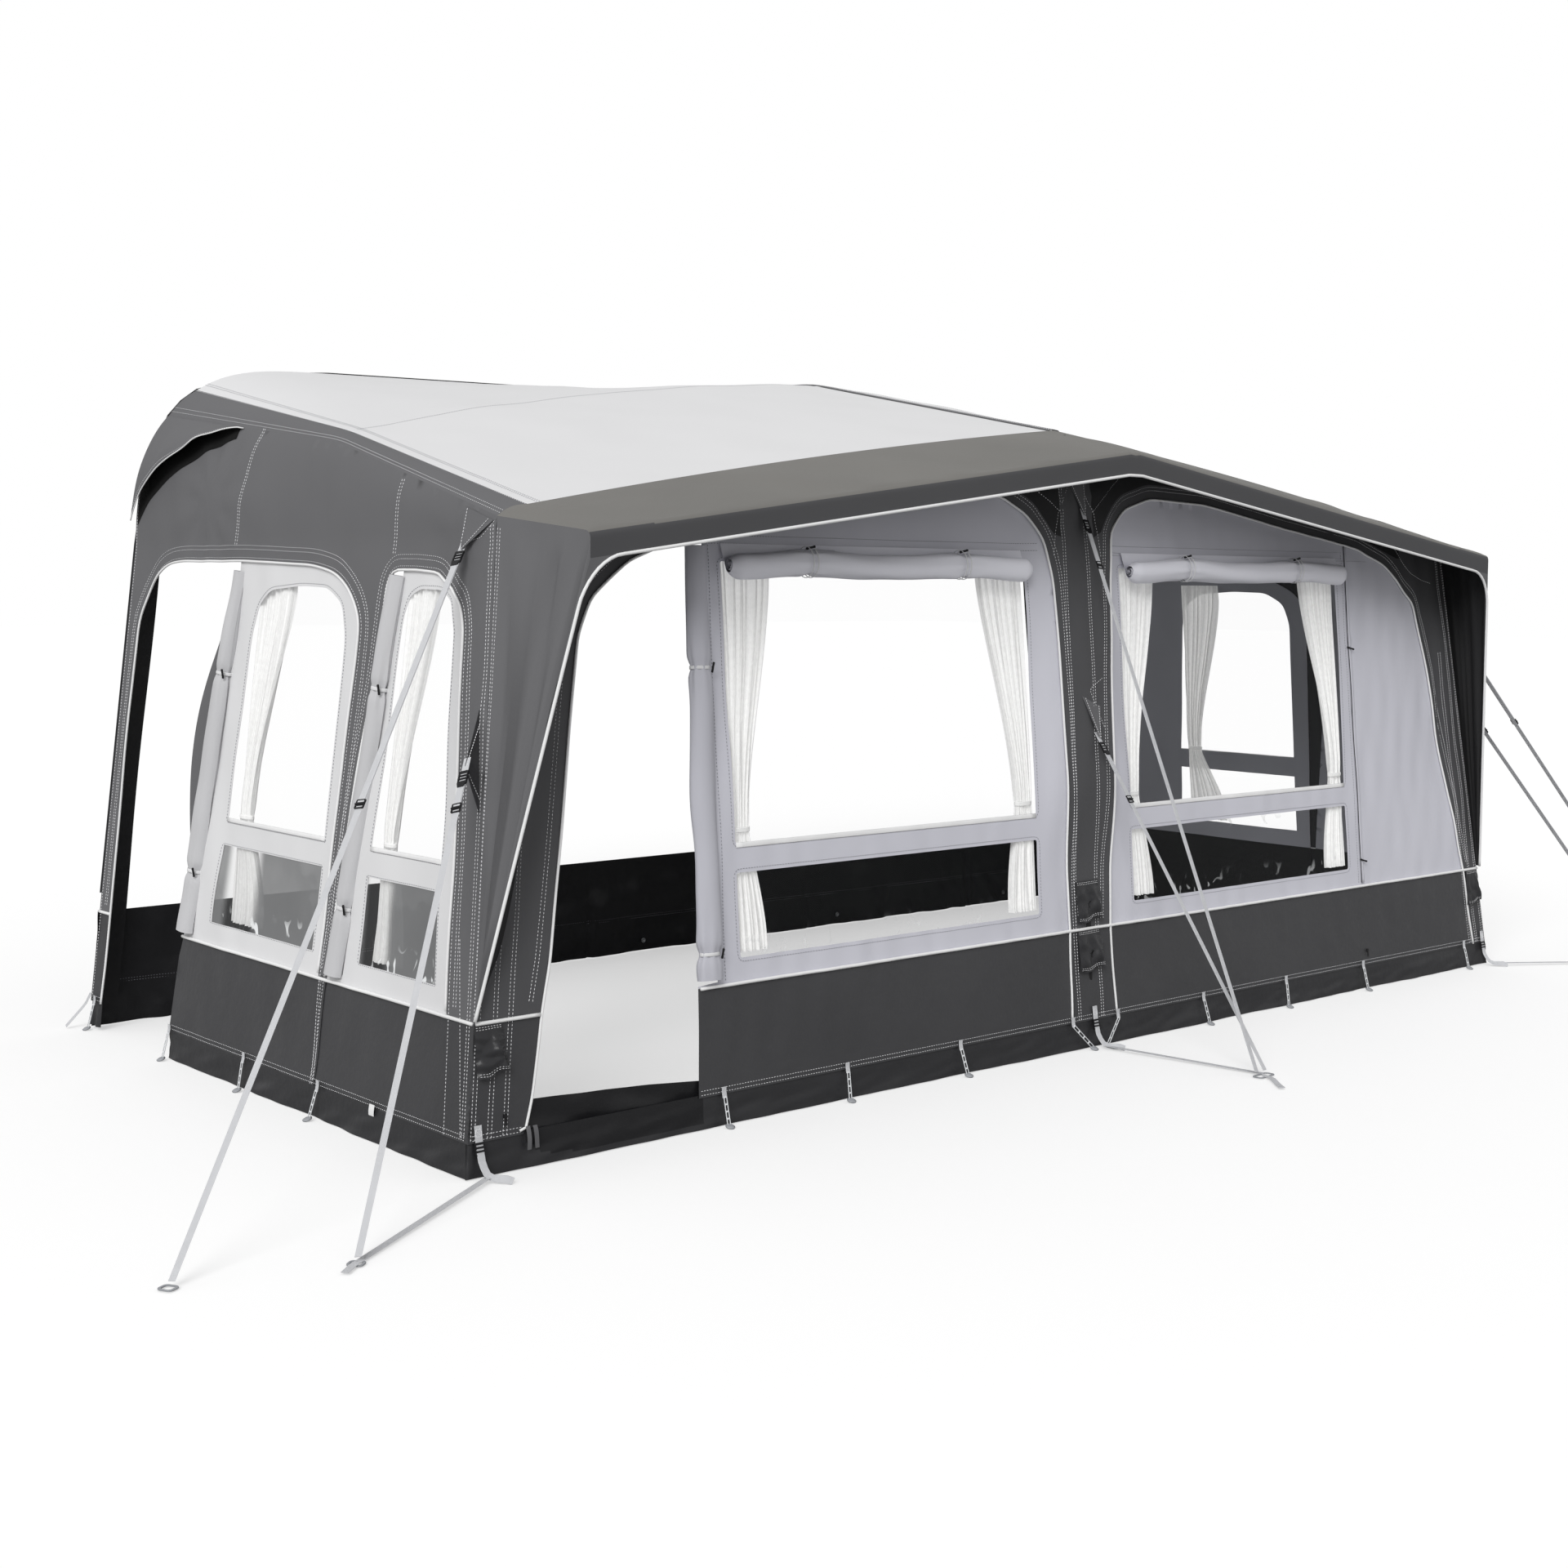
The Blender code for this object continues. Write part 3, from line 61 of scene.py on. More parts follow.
class Flow:  # one output socket; sums and products of flows add their Math nodes
    def __init__(self, tree, out=None):
        self.tree = tree
        self.out = out

    def node(self, kind, settings=(), values=(), pick=0):  # any node: its settings first, then values or links
        made = self.tree.nodes.new(kind)
        for key, value in dict(settings).items():
            if key == "stops":
                ramp = made.color_ramp.elements
                while len(ramp) < len(value):
                    ramp.new(0.5)
                for element, (position, shade) in zip(ramp, value):
                    element.position = position
                    element.color = (shade, shade, shade, 1)
            else:
                setattr(made, key, value)
        for key, value in dict(values).items():
            if isinstance(value, Flow):
                self.tree.links.new(value.out, made.inputs[key])
            else:
                made.inputs[key].default_value = value
        return Flow(self.tree, made.outputs[pick])

    def maths(self, operation, *terms):
        return self.node("ShaderNodeMath", {"operation": operation}, dict(enumerate(terms)))

    def __add__(self, other):
        return self.maths("ADD", self, other)

    def __radd__(self, other):
        return self.maths("ADD", other, self)

    def __sub__(self, other):
        return self.maths("SUBTRACT", self, other)

    def __rsub__(self, other):
        return self.maths("SUBTRACT", other, self)

    def __mul__(self, other):
        return self.maths("MULTIPLY", self, other)

    def __rmul__(self, other):
        return self.maths("MULTIPLY", other, self)

    def __truediv__(self, other):
        return self.maths("DIVIDE", self, other)

    def __rtruediv__(self, other):
        return self.maths("DIVIDE", other, self)

    def __pow__(self, other):
        return self.maths("POWER", self, other)

    def __rpow__(self, other):
        return self.maths("POWER", other, self)

    def sine(self):
        return self.maths("SINE", self)

    def mixed(self, first, second):  # this flow chooses between two colours
        return self.node("ShaderNodeMix", {"data_type": "RGBA"}, {0: self, 6: first, 7: second}, 2)

    def noise(self, scale, detail=3.0, where=None):
        spot = where or self.node("ShaderNodeTexCoord", pick=3)
        return self.node("ShaderNodeTexNoise", (), {"Vector": spot, "Scale": scale, "Detail": detail})

    def along(self):  # the piece's own two directions in metres, from its UV map
        spot = self.node("ShaderNodeUVMap", {"uv_map": "UVMap"})
        made = self.tree.nodes.new("ShaderNodeSeparateXYZ")
        self.tree.links.new(spot.out, made.inputs[0])
        return Flow(self.tree, made.outputs[0]), Flow(self.tree, made.outputs[1])

    def bump(self, height, distance, strength=1.0):
        return self.node("ShaderNodeBump", (), {"Height": height, "Distance": distance, "Strength": strength})


def linear(shade):  # a screen value from 0 to 255 as a linear one
    share = shade / 255
    return ((share + 0.055) / 1.055) ** 2.4 if share > 0.04 else share / 12.92


def tint(red, green, blue):
    return (linear(red), linear(green), linear(blue), 1)


def finish(name, build, **fixed):
    made = bpy.data.materials.new(name)
    made.use_nodes = True
    shader = made.node_tree.nodes["Principled BSDF"]
    for key, value in {"Specular_IOR_Level": 0.3, **fixed}.items():
        shader.inputs[key.replace("_", " ")].default_value = value
    for key, value in build(Flow(made.node_tree)).items():
        if isinstance(value, Flow):
            made.node_tree.links.new(value.out, shader.inputs[key])
        else:
            shader.inputs[key].default_value = value
    return made


def woven(colour, second, rough, weave=0.0022, depth=0.00012, dents=0.0010, sheen=0.0):
    # cloth: crossing sine threads on the UV map, soft dents and a slow drift between two colours
    def build(flow):
        u, v = flow.along()
        warp = (u * (math.tau / weave)).sine()
        weft = (v * (math.tau / weave)).sine()
        threads = warp * weft
        drift = flow.noise(1.4, 2.0)
        grain = flow.noise(260.0, 2.0)
        dent = flow.noise(7.0, 4.0)
        blend = drift * 0.75 + grain * 0.20 + threads * 0.03
        fine = flow.bump(threads * 0.5 + grain * 0.6, depth)
        made = flow.node("ShaderNodeBump", (),
                         {"Height": dent, "Distance": dents, "Strength": 1.0, "Normal": fine})
        return {"Base Color": blend.mixed(colour, second), "Roughness": grain * 0.16 + (rough - 0.08),
                "Normal": made, "Sheen Weight": sheen}
    return build


def coated(colour, second, rough):  # smooth coated sheet with slow dents and fine crazing
    def build(flow):
        drift = flow.noise(2.2, 3.0)
        dent = flow.noise(11.0, 4.0)
        crease = flow.noise(38.0, 3.0)
        return {"Base Color": drift.mixed(colour, second), "Roughness": crease * 0.18 + (rough - 0.09),
                "Normal": flow.bump(dent * 0.8 + crease * 0.2, 0.004)}
    return build


def moulded(colour, rough, grain=900.0):  # plastic with a fine mould texture
    def build(flow):
        speck = flow.noise(grain, 2.0)
        wear = flow.noise(24.0, 3.0)
        return {"Base Color": wear.mixed(colour, tuple(min(1, c * 1.25) for c in colour[:3]) + (1,)),
                "Roughness": speck * 0.12 + wear * 0.1 + (rough - 0.11), "Normal": flow.bump(speck, 0.0001)}
    return build


def webbed(colour, second):  # webbing: slanting ribs along the strap
    def build(flow):
        u, v = flow.along()
        ribs = ((u + v * 0.6) * (math.tau / 0.0026)).sine() * ((u - v * 0.6) * (math.tau / 0.0026)).sine()
        grime = flow.noise(16.0, 3.0)
        return {"Base Color": (grime * 0.8 + ribs * 0.1).mixed(colour, second), "Roughness": grime * 0.1 + 0.62,
                "Normal": flow.bump(ribs, 0.0003)}
    return build


def filmed(hazeAndReflection, shade):
    # clear film: more mirror-like at a slant; below the cross band a grey veil, partly the film's milky haze and
    # partly painted reflection; small painted glints (painted highlights) at its foot
    def build(flow):
        def step(value, start, end):
            limits = {0: value, 1: start, 2: end}
            return flow.node("ShaderNodeMapRange", {"interpolation_type": "SMOOTHSTEP"}, limits)
        wave = flow.noise(3.2, 3.0)
        u, v = flow.along()
        low = step(v, 0.83, 0.79)
        rim = step(v, 0.60, 0.53)
        # clearer where the rear and the front curtain hang behind it
        clear = step(u, 1.37, 1.44) * step(u, 1.64, 1.58) + step(u, 0.52, 0.58) * step(u, 0.72, 0.67)
        place = flow.node("ShaderNodeCombineXYZ", (), {0: u * 15, 1: v * 11, 2: 0.0})
        bubble = flow.node("ShaderNodeTexNoise", (),
                           {"Vector": place, "Scale": 1.0, "Detail": 1.0, "Distortion": 1.6})
        # painted highlights: pale colour and more opacity in spots near the window's foot
        paintedGlint = step(bubble, 0.60, 0.68)
        slant = flow.node("ShaderNodeLayerWeight", (), {"Blend": 0.25}, 1)
        # grey veil below the cross band: partly the film's own haze, partly painted reflection
        hazeAndReflectionVeil = low * (wave * 0.3 + 0.85) * (1 - clear * 0.8) * hazeAndReflection
        return {"Base Color": (paintedGlint * rim).mixed(shade, tint(240, 242, 243)), "Roughness": wave * 0.05 + 0.03,
                "Alpha": slant * 0.05 + paintedGlint * rim * 0.30 + hazeAndReflectionVeil + 0.012,
                "Normal": flow.bump(wave, 0.010)}
    return build


def sheer(flow):  # thin curtain: fine mesh lines and partly open; its colour is also its emission, a painted glow for daylight coming through
    u, v = flow.along()
    lines = (u * (math.tau / 0.006)).sine() * 0.5 + 0.5
    slub = flow.noise(60.0, 3.0)
    shade = slub.mixed(tint(238, 238, 237), tint(250, 250, 249))
    return {"Base Color": shade, "Emission Color": shade, "Roughness": 0.85,
            "Alpha": lines * 0.10 + slub * 0.12 + 0.72, "Normal": flow.bump(lines * 0.6 + slub, 0.0006)}


def steely(flow):  # bright zinc
    smear = flow.noise(60.0, 3.0)
    return {"Base Color": smear.mixed(tint(150, 152, 155), tint(186, 188, 190)), "Roughness": smear * 0.2 + 0.22,
            "Normal": flow.bump(smear, 0.0002)}


finishes = {
    "roof": finish("roofCloth", woven(tint(217, 217, 218), tint(224, 224, 225), 0.72,
                                      depth=0.00008, dents=0.0014)),
    "roofInside": finish("roofCloth_inside", woven(tint(190, 191, 192), tint(200, 201, 202), 0.8)),
    "wall": finish("wallCloth", woven(tint(97, 97, 99), tint(108, 108, 110), 0.74)),
    "wallInside": finish("wallCloth_inside", woven(tint(44, 44, 46), tint(52, 52, 54), 0.8)),
    # front frame: a darker copy of the wall cloth for the less lit front, painted shade
    "frame": finish("frameCloth_paintedShade", woven(tint(74, 74, 76), tint(85, 85, 87), 0.70)),
    # darkest cloth: the underside of the hood and wings, and the front frame under the hood, where it is partly
    # painted shade
    "liningAndShade": finish("darkLiningAndPaintedShade", woven(tint(34, 34, 35), tint(42, 42, 43), 0.74)),
    "hood": finish("hoodCloth", woven(tint(106, 105, 102), tint(127, 125, 121), 0.56, dents=0.0022)),
    # the hood's front face: a darker copy of the hood cloth, painted shade
    "hoodFallShade": finish("hoodCloth_front_paintedShade", woven(tint(70, 70, 72), tint(80, 80, 82), 0.62)),
    # front panels: a darker, bluer copy of the side panels' cloth, painted shade for the less lit front
    "panel": finish("panelCloth", woven(tint(201, 201, 210), tint(210, 210, 218), 0.72)),
    "panelInside": finish("panelCloth_inside", woven(tint(150, 151, 158), tint(160, 161, 168), 0.8)),
    # rolled bay door: a darker copy of the panel cloth, painted shade of the roll
    "panelFoldShade": finish("panelCloth_roll", woven(tint(186, 186, 194), tint(196, 196, 204), 0.72)),
    # blinds: a lighter copy of the panel cloth against the hood's shade, painted light
    "blind": finish("panelCloth_blind_paintedLight", woven(tint(226, 226, 234), tint(236, 236, 243), 0.72)),
    "side": finish("sidePanelCloth", woven(tint(218, 218, 219), tint(227, 227, 228), 0.72)),
    # rolled side doors: a darker copy of the side panel cloth, painted shade of the rolls
    "sideFoldShade": finish("sidePanelCloth_rolled", woven(tint(190, 190, 192), tint(202, 202, 204), 0.72)),
    "band": finish("wipeCleanSheet", coated(tint(60, 60, 62), tint(70, 70, 72), 0.42)),
    "bandInside": finish("wipeCleanSheet_inside", coated(tint(28, 28, 29), tint(35, 35, 36), 0.5)),
    "mud": finish("wipeCleanSheet_foot", coated(tint(42, 42, 44), tint(54, 54, 56), 0.34)),
    "flap": finish("wipeCleanSheet_flap", coated(tint(40, 40, 42), tint(56, 56, 58), 0.30)),
    "skirt": finish("skirtSheet", coated(tint(24, 24, 26), tint(34, 34, 36), 0.34)),
    # the side film carries the grey veil of painted reflection; both films carry painted glints
    "film": finish("windowFilm", filmed(0.0, tint(150, 153, 155)), Specular_IOR_Level=0.9),
    "sideFilm": finish("windowFilm_side", filmed(0.9, tint(120, 121, 122)), Specular_IOR_Level=0.6),
    "curtain": finish("curtainCloth", sheer, Emission_Strength=0.14),  # painted glow that stands in for daylight through the sheer cloth
    "tube": finish("airTubeSleeve", woven(tint(26, 26, 27), tint(33, 33, 34), 0.6)),
    "webbing": finish("strapWebbing", webbed(tint(206, 207, 210), tint(222, 223, 226))),
    "piping": finish("whitePiping", coated(tint(232, 232, 232), tint(242, 242, 242), 0.42)),
    "thread": finish("whiteThread", moulded(tint(222, 222, 224), 0.8, 2000.0)),
    "threadLight": finish("greyThread", moulded(tint(132, 133, 138), 0.8, 2000.0)),
    "black": finish("blackPlastic", moulded(tint(24, 24, 26), 0.38)),
    "grey": finish("greyPlastic", moulded(tint(150, 152, 156), 0.42)),
    "pale": finish("palePegPlastic", moulded(tint(212, 214, 216), 0.45)),
    "steel": finish("zincSteel", steely, Metallic=1.0),
    # vent net: nearly black, partly net, partly painted shade beneath the vent flap
    "mesh": finish("ventNetAndShade", woven(tint(9, 9, 9), tint(16, 16, 16), 0.9, weave=0.004, depth=0.0006)),
}
slotOf = {key: slot for slot, keys in {
    "roof_cloth": ("roof",), "wall_cloth": ("wall", "hood", "frame", "mesh"),
    "panel_cloth": ("panel", "blind", "panelFoldShade"), "side_panel_cloth": ("side", "sideFoldShade"),
    "wipe_clean_band": ("band", "mud", "flap"), "skirt_sheet": ("skirt",), "window_film": ("film", "sideFilm"),
    "curtain_cloth": ("curtain",), "air_tube": ("tube",), "webbing": ("webbing",), "piping": ("piping",),
    "valve_plastic": ("black",)}.items() for key in keys}
print("finishes made:", len(finishes))


# Arrays and meshes

def unit(vectors):
    return vectors / np.maximum(np.linalg.norm(vectors, axis=-1, keepdims=True), 1e-12)


def triple(x, y, z):
    return np.stack(np.broadcast_arrays(x, y, z), axis=-1).astype(float)


def gridFaces(rows, columns, closeRows=False, closeColumns=False, start=0):
    # quads of a grid whose points are numbered row by row
    i, j = np.meshgrid(np.arange(rows if closeRows else rows - 1),
                       np.arange(columns if closeColumns else columns - 1), indexing="ij")
    nextRow = (i + 1) % rows
    nextColumn = (j + 1) % columns
    quads = np.stack([i * columns + j, i * columns + nextColumn, nextRow * columns + nextColumn,
                      nextRow * columns + j], axis=-1)
    return quads.reshape(-1, 4) + start


def facingOut(points, faces, inside):  # turns all faces over when most of them look at the inside point
    a, b, c = points[faces[:, 0]], points[faces[:, 1]], points[faces[:, 2]]
    normal = np.cross(b - a, c - a)
    return faces[:, ::-1] if np.sum(normal * (a - inside)) < 0 else faces


def faceList(faces):  # plain lists of numbers, from arrays or groups of faces
    out = []
    for face in faces.tolist() if isinstance(faces, np.ndarray) else faces:
        grouped = isinstance(face, np.ndarray) or not isinstance(face[0], (int, np.integer))
        out += faceList(face) if grouped else [list(face)]
    return out


def newPiece(name, points, faces, look, body="canopy", uv=None, chosen=None, thick=0.0, stands=(), smooth=True,
             bevel=0.0, slot=None):
    mesh = bpy.data.meshes.new(name)
    places = np.asarray(points, float).reshape(-1, 3) + (0, awning["moveY"], 0)
    mesh.from_pydata(places.tolist(), [], faceList(faces))
    looks = [look] if isinstance(look, str) else list(look)
    for key in looks:
        mesh.materials.append(finishes[key])
    if uv is not None:
        corner = np.empty(len(mesh.loops), int)
        mesh.loops.foreach_get("vertex_index", corner)
        flat = np.asarray(uv, float).reshape(-1, 2)[corner]
        mesh.uv_layers.new(name="UVMap").data.foreach_set("uv", flat.ravel())
    if chosen is not None:
        mesh.polygons.foreach_set("material_index", np.asarray(chosen, int))
    mesh.polygons.foreach_set("use_smooth", np.full(len(mesh.polygons), smooth))
    if thick:  # the cut edges of a cloth stay crisp
        corner = np.empty(len(mesh.loops), int)
        mesh.loops.foreach_get("edge_index", corner)
        mesh.edges.foreach_set("use_edge_sharp", np.bincount(corner, minlength=len(mesh.edges)) == 1)
    mesh.validate()
    mesh.update()
    made = bpy.data.objects.new(name, mesh)
    bpy.context.scene.collection.objects.link(made)
    if thick:
        solid = made.modifiers.new("thickness", "SOLIDIFY")
        solid.thickness = thick
        solid.offset = -1
        solid.use_even_offset = False
        solid.material_offset = len(looks) // 2
    if bevel:
        edge = made.modifiers.new("edges", "BEVEL")
        edge.width = bevel
        edge.segments = 2
        edge.limit_method = "ANGLE"
    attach(made, body)
    if stands:
        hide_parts(*stands)
    slot or looks[0] in slotOf
    return made


def runLength(path):
    return np.concatenate([[0.0], np.cumsum(np.linalg.norm(np.diff(path, axis=0), axis=1))])


def resampled(path, step=None, count=None):  # points at equal distances along a polyline
    path = np.asarray(path, float)
    run = runLength(path)
    count = count or max(2, int(round(run[-1] / step)) + 1)
    at = np.linspace(0, run[-1], count)
    return np.stack([np.interp(at, run, path[:, k]) for k in range(path.shape[1])], axis=1)


def rounded(path, width, step=0.012):  # a polyline smoothed by a running average, with its ends kept
    points = resampled(path, step)
    half = max(1, int(width / step / 2))
    half = min(half, len(points) - 1)
    padded = np.concatenate([2 * points[0] - points[half:0:-1], points, 2 * points[-1] - points[-2:-half - 2:-1]])
    weight = np.hanning(2 * half + 3)[1:-1]
    weight /= weight.sum()
    return np.stack([np.convolve(padded[:, k], weight, "valid") for k in range(points.shape[1])], axis=1)


def edgePoints(loop, step):  # a closed outline with extra points on its long edges; corners are kept
    loop = np.asarray(loop, float)
    ends = np.roll(loop, -1, axis=0)
    parts = []
    for a, b in zip(loop, ends):
        count = max(1, int(np.ceil(np.linalg.norm(b - a) / step)))
        parts.append(a + (b - a) * (np.arange(count) / count)[:, None])
    return np.concatenate(parts)


def insideLoop(points, loop):  # crossing-number test for many points at once
    x, y = points[:, :1], points[:, 1:2]
    x1, y1 = loop[:, 0], loop[:, 1]
    x2, y2 = np.roll(x1, -1), np.roll(y1, -1)
    rise = np.where(np.abs(y2 - y1) < 1e-12, 1e-12, y2 - y1)
    crossing = ((y1 > y) != (y2 > y)) & (x < (x2 - x1) * (y - y1) / rise + x1)
    return crossing.sum(axis=1) % 2 == 1


def filled(outline, holes=(), step=0.03, lines=()):
    # a flat cut-out: grid points inside the outline and outside the holes, joined by Delaunay triangles
    loops = [edgePoints(loop, step) for loop in [outline, *holes]]
    low, high = loops[0].min(axis=0), loops[0].max(axis=0)
    u, v = np.meshgrid(np.arange(low[0] + step / 2, high[0], step), np.arange(low[1] + step / 2, high[1], step))
    u[1::2] += step / 2
    points = np.stack([u.ravel(), v.ravel()], axis=1)
    keep = insideLoop(points, loops[0])
    for loop in loops[1:]:
        keep &= ~insideLoop(points, loop)
    points = points[keep]
    rims = loops + [resampled(line, step) for line in lines]
    for rim in rims:
        gap = np.linalg.norm(points[:, None] - rim[None], axis=2).min(axis=1)
        points = points[gap > 0.45 * step]
    flat, edges = [], []
    for index, rim in enumerate(rims):
        first = sum(len(r) for r in rims[:index])
        number = np.arange(len(rim)) + first
        pairs = np.stack([number, np.roll(number, -1)], axis=1)
        edges += (pairs if index < len(loops) else pairs[:-1]).tolist()
        flat.append(rim)
    flat = np.concatenate(flat + [points])
    places, _, triangles, *_ = delaunay_2d_cdt([Vector(p) for p in flat.tolist()], edges, [], 0, 1e-6)
    places = np.array([tuple(p) for p in places])
    triangles = np.array(triangles)
    centre = places[triangles].mean(axis=1)
    keep = insideLoop(centre, loops[0])
    for loop in loops[1:]:
        keep &= ~insideLoop(centre, loop)
    return places, triangles[keep]


def ripple(u, v, seed, length, count=9):  # sine waves of seeded directions, phases and lengths, about -1 to 1
    draw = np.random.default_rng(seed)
    turn = draw.uniform(0, math.tau, count)
    pace = draw.uniform(0.6, 1.7, count) * math.tau / length
    phase = draw.uniform(0, math.tau, count)
    u = np.asarray(u, float)[..., None]
    v = np.asarray(v, float)[..., None]
    return np.sin(u * np.cos(turn) * pace + v * np.sin(turn) * pace + phase).sum(axis=-1) / math.sqrt(count)


def fade(value, low, high):  # 0 below low, 1 above high, smooth between
    share = np.clip((np.asarray(value, float) - low) / (high - low), 0, 1)
    return share * share * (3 - 2 * share)


def hump(value, centre, width):  # a bell of height 1
    return np.exp(-((np.asarray(value, float) - centre) / width) ** 2)


def fan(u, v, centre, count, reach, seed):  # creases that run out from a point and die away at reach
    draw = np.random.default_rng(seed)
    du, dv = u - centre[0], v - centre[1]
    far = np.hypot(du, dv)
    turn = np.arctan2(dv, du)
    return np.sin(turn * count + draw.uniform(0, math.tau)) * np.exp(-far / reach) * fade(far, 0.01, reach * 0.3)


# The awning's surfaces, as functions of two coordinates and the distance out of them

def sideX(v):
    return awning["halfWidth"] - awning["sideLean"] * np.asarray(v, float)


def frontRelief(x, v):
    # slow dents, upright folds, round posts over the air tubes and creases from the post tops
    soft = 0.0030 * ripple(x, v, 3, 0.9) + 0.0016 * ripple(2.6 * x, 0.7 * v, 4, 0.4)
    post = 0.035 * (1 - fade(np.abs(x), 0.10, 0.32)) * fade(v, 0.62, 1.0) * (1 - fade(v, 2.0, 2.2))
    corner = 0.012 * np.clip(1 - ((np.abs(x) - sideX(v) + 0.085) / 0.08) ** 2, 0, 1) * fade(v, 0.5, 0.8)
    creases = 0.004 * fan(x, v, (0.0, 1.98), 11, 0.22, 5) + 0.003 * fan(np.abs(x), v, (1.72, 1.88), 9, 0.2, 6)
    return (soft + creases) * fade(v, 0.02, 0.3) * fade(sideX(v) - np.abs(x), 0, 0.05) + post + corner


def frontAt(x, v, out=0.0):
    # leaning plane: y follows the height, out is measured square to the plane
    x, v, out = np.broadcast_arrays(np.asarray(x, float), np.asarray(v, float), np.asarray(out, float))
    return triple(x, awning["frontLean"] * v - out / frontTilt, v + out * awning["frontLean"] / frontTilt)


def frontCloth(x, v, out=0.0):
    return frontAt(x, v, out + frontRelief(np.asarray(x, float), np.asarray(v, float)))


rail = {"ridge": 2.508, "edgeX": 2.22, "flatX": 1.60, "fall": 0.033, "corner": 0.092}
border = {"y": (0.1853, 1.17, 2.60), "x": (2.467, 2.42, 2.335), "z": (1.863, 2.115, 2.28),
          "bulge": (0.0045, 0, 0.009)}


def borderAt(y):  # the lower seam of the roof border, where the side wall begins
    return np.interp(y, border["y"], border["x"]), np.interp(y, border["y"], border["z"])


def sideShape(y, z):
    # straight lean up to the shoulder, then a quadratic curve that bends in to the roof border
    topX, topZ = borderAt(y)
    rise = np.maximum(topZ - awning["shoulder"], 1e-4)
    share = np.clip((z - awning["shoulder"]) / rise, 0, 1)
    s = (1.38 - np.sqrt(np.maximum(1.38 ** 2 - 1.52 * share, 0))) / 0.76
    base = sideX(awning["shoulder"])
    curve = base * (1 - s) ** 2 + (topX + 0.964 * (base - topX)) * 2 * s * (1 - s) + topX * s ** 2
    return np.where(z <= awning["shoulder"], sideX(z), curve)


def sideRelief(y, z):
    # slow dents, tension folds from the vent and the corner, and a shallow pull at the lower guy
    soft = 0.0035 * ripple(y, z, 13, 0.8) + 0.0018 * ripple(2.2 * y, 0.8 * z, 14, 0.4)
    pull = 0.006 * fan(y, z, (2.0, 1.95), 9, 0.30, 15) + 0.004 * fan(y, z, (0.33, 1.787), 10, 0.20, 16)
    tug = 0.008 * hump(y, 0.165, 0.03) * hump(z, 1.274, 0.10)
    edge = fade(y, 0.13, 0.25) * (1 - fade(y, 2.5, 2.6)) * fade(z, 0.02, 0.25) * fade(borderAt(y)[1] - z, 0, 0.09)
    return (soft + pull) * edge + tug


def sideAt(y, z, out=0.0, sign=-1, relief=False):
    y, z, out = np.broadcast_arrays(np.asarray(y, float), np.asarray(z, float), np.asarray(out, float))
    out = out + (sideRelief(y, z) if relief else 0)
    x = sideShape(y, z)
    slope = (sideShape(y, z + 0.001) - sideShape(y, z - 0.001)) / 0.002
    size = np.sqrt(1 + slope ** 2)
    return triple(sign * (x + out / size), y, z - out * slope / size)


def sideCloth(sign):
    return lambda y, z, out=0.0: sideAt(y, z, out, sign, True)


def station(lines, t):
    # a point between three lines; the kink at the middle one is rounded over a short length
    first, second, third = lines
    t = np.asarray(t, float)[..., None]
    straight = np.where(t <= 1, first + (second - first) * t, second + (third - second) * (t - 1))
    w = 0.06
    k = np.clip((t - 1 + w) / (2 * w), 0, 1)
    a = first + (second - first) * (1 - w)
    b = second + (third - second) * w
    curve = a * (1 - k) ** 2 + second * 2 * k * (1 - k) + b * k ** 2
    return np.where(np.abs(t - 1) < w, curve, straight)


def seamLine(u):  # where the light roof meets the hood
    return triple(u * 2.36, 0.27 - 0.08 * u, 2.242 - 0.342 * u + 0.022 * 4 * u * (1 - u))


def crestLine(u):
    return triple(u * 2.345, 1.574 - 0.343 * u, 2.489 - 0.329 * u + 0.047 * 4 * u * (1 - u))


def railLine(u):
    x = u * rail["edgeX"]
    corner = np.clip((x - rail["flatX"]) / (rail["edgeX"] - rail["flatX"]), 0, None) ** 4.4
    return triple(x, awning["depth"], rail["ridge"] - rail["fall"] * u - rail["corner"] * corner)


def roofAt(u, t, sign=1, out=0.0):
    # u from the ridge to the border, t from the hood seam over the crest to the rail
    u, t = np.broadcast_arrays(np.asarray(u, float), np.asarray(t, float))
    points = station((seamLine(u), crestLine(u), railLine(u)), t)
    bay = np.sin(np.pi * np.clip(u, 0, 1))
    span = np.abs(np.sin(np.pi * t))
    edge = fade(u, 0, 0.06) * (1 - fade(u, 0.94, 1)) * fade(t, 0, 0.1) * (1 - fade(t, 1.9, 2))
    slack = 0.0020 * ripple(2.4 * u, t, 21, 0.8) + 0.0012 * ripple(4 * u, 2 * t, 22, 0.5)
    sag = -0.006 * bay * span + edge * slack
    points = points + triple(0, 0, sag + out)
    return points * (sign, 1, 1)


def declareSheet(points, faces, size, rests):
    # flat size in metres; the area is the cut cloth's own where it is well below width times length
    triangles = np.array([[face[0], face[k], face[k + 1]] for face in faces for k in range(1, len(face) - 1)])
    a, b, c = (points[triangles[:, k]] for k in range(3))
    area = float(np.linalg.norm(np.cross(b - a, c - a), axis=1).sum() / 2)
    size = np.asarray(size, float)
    size = size * math.sqrt(max(1.0, area / (size[0] * size[1])))


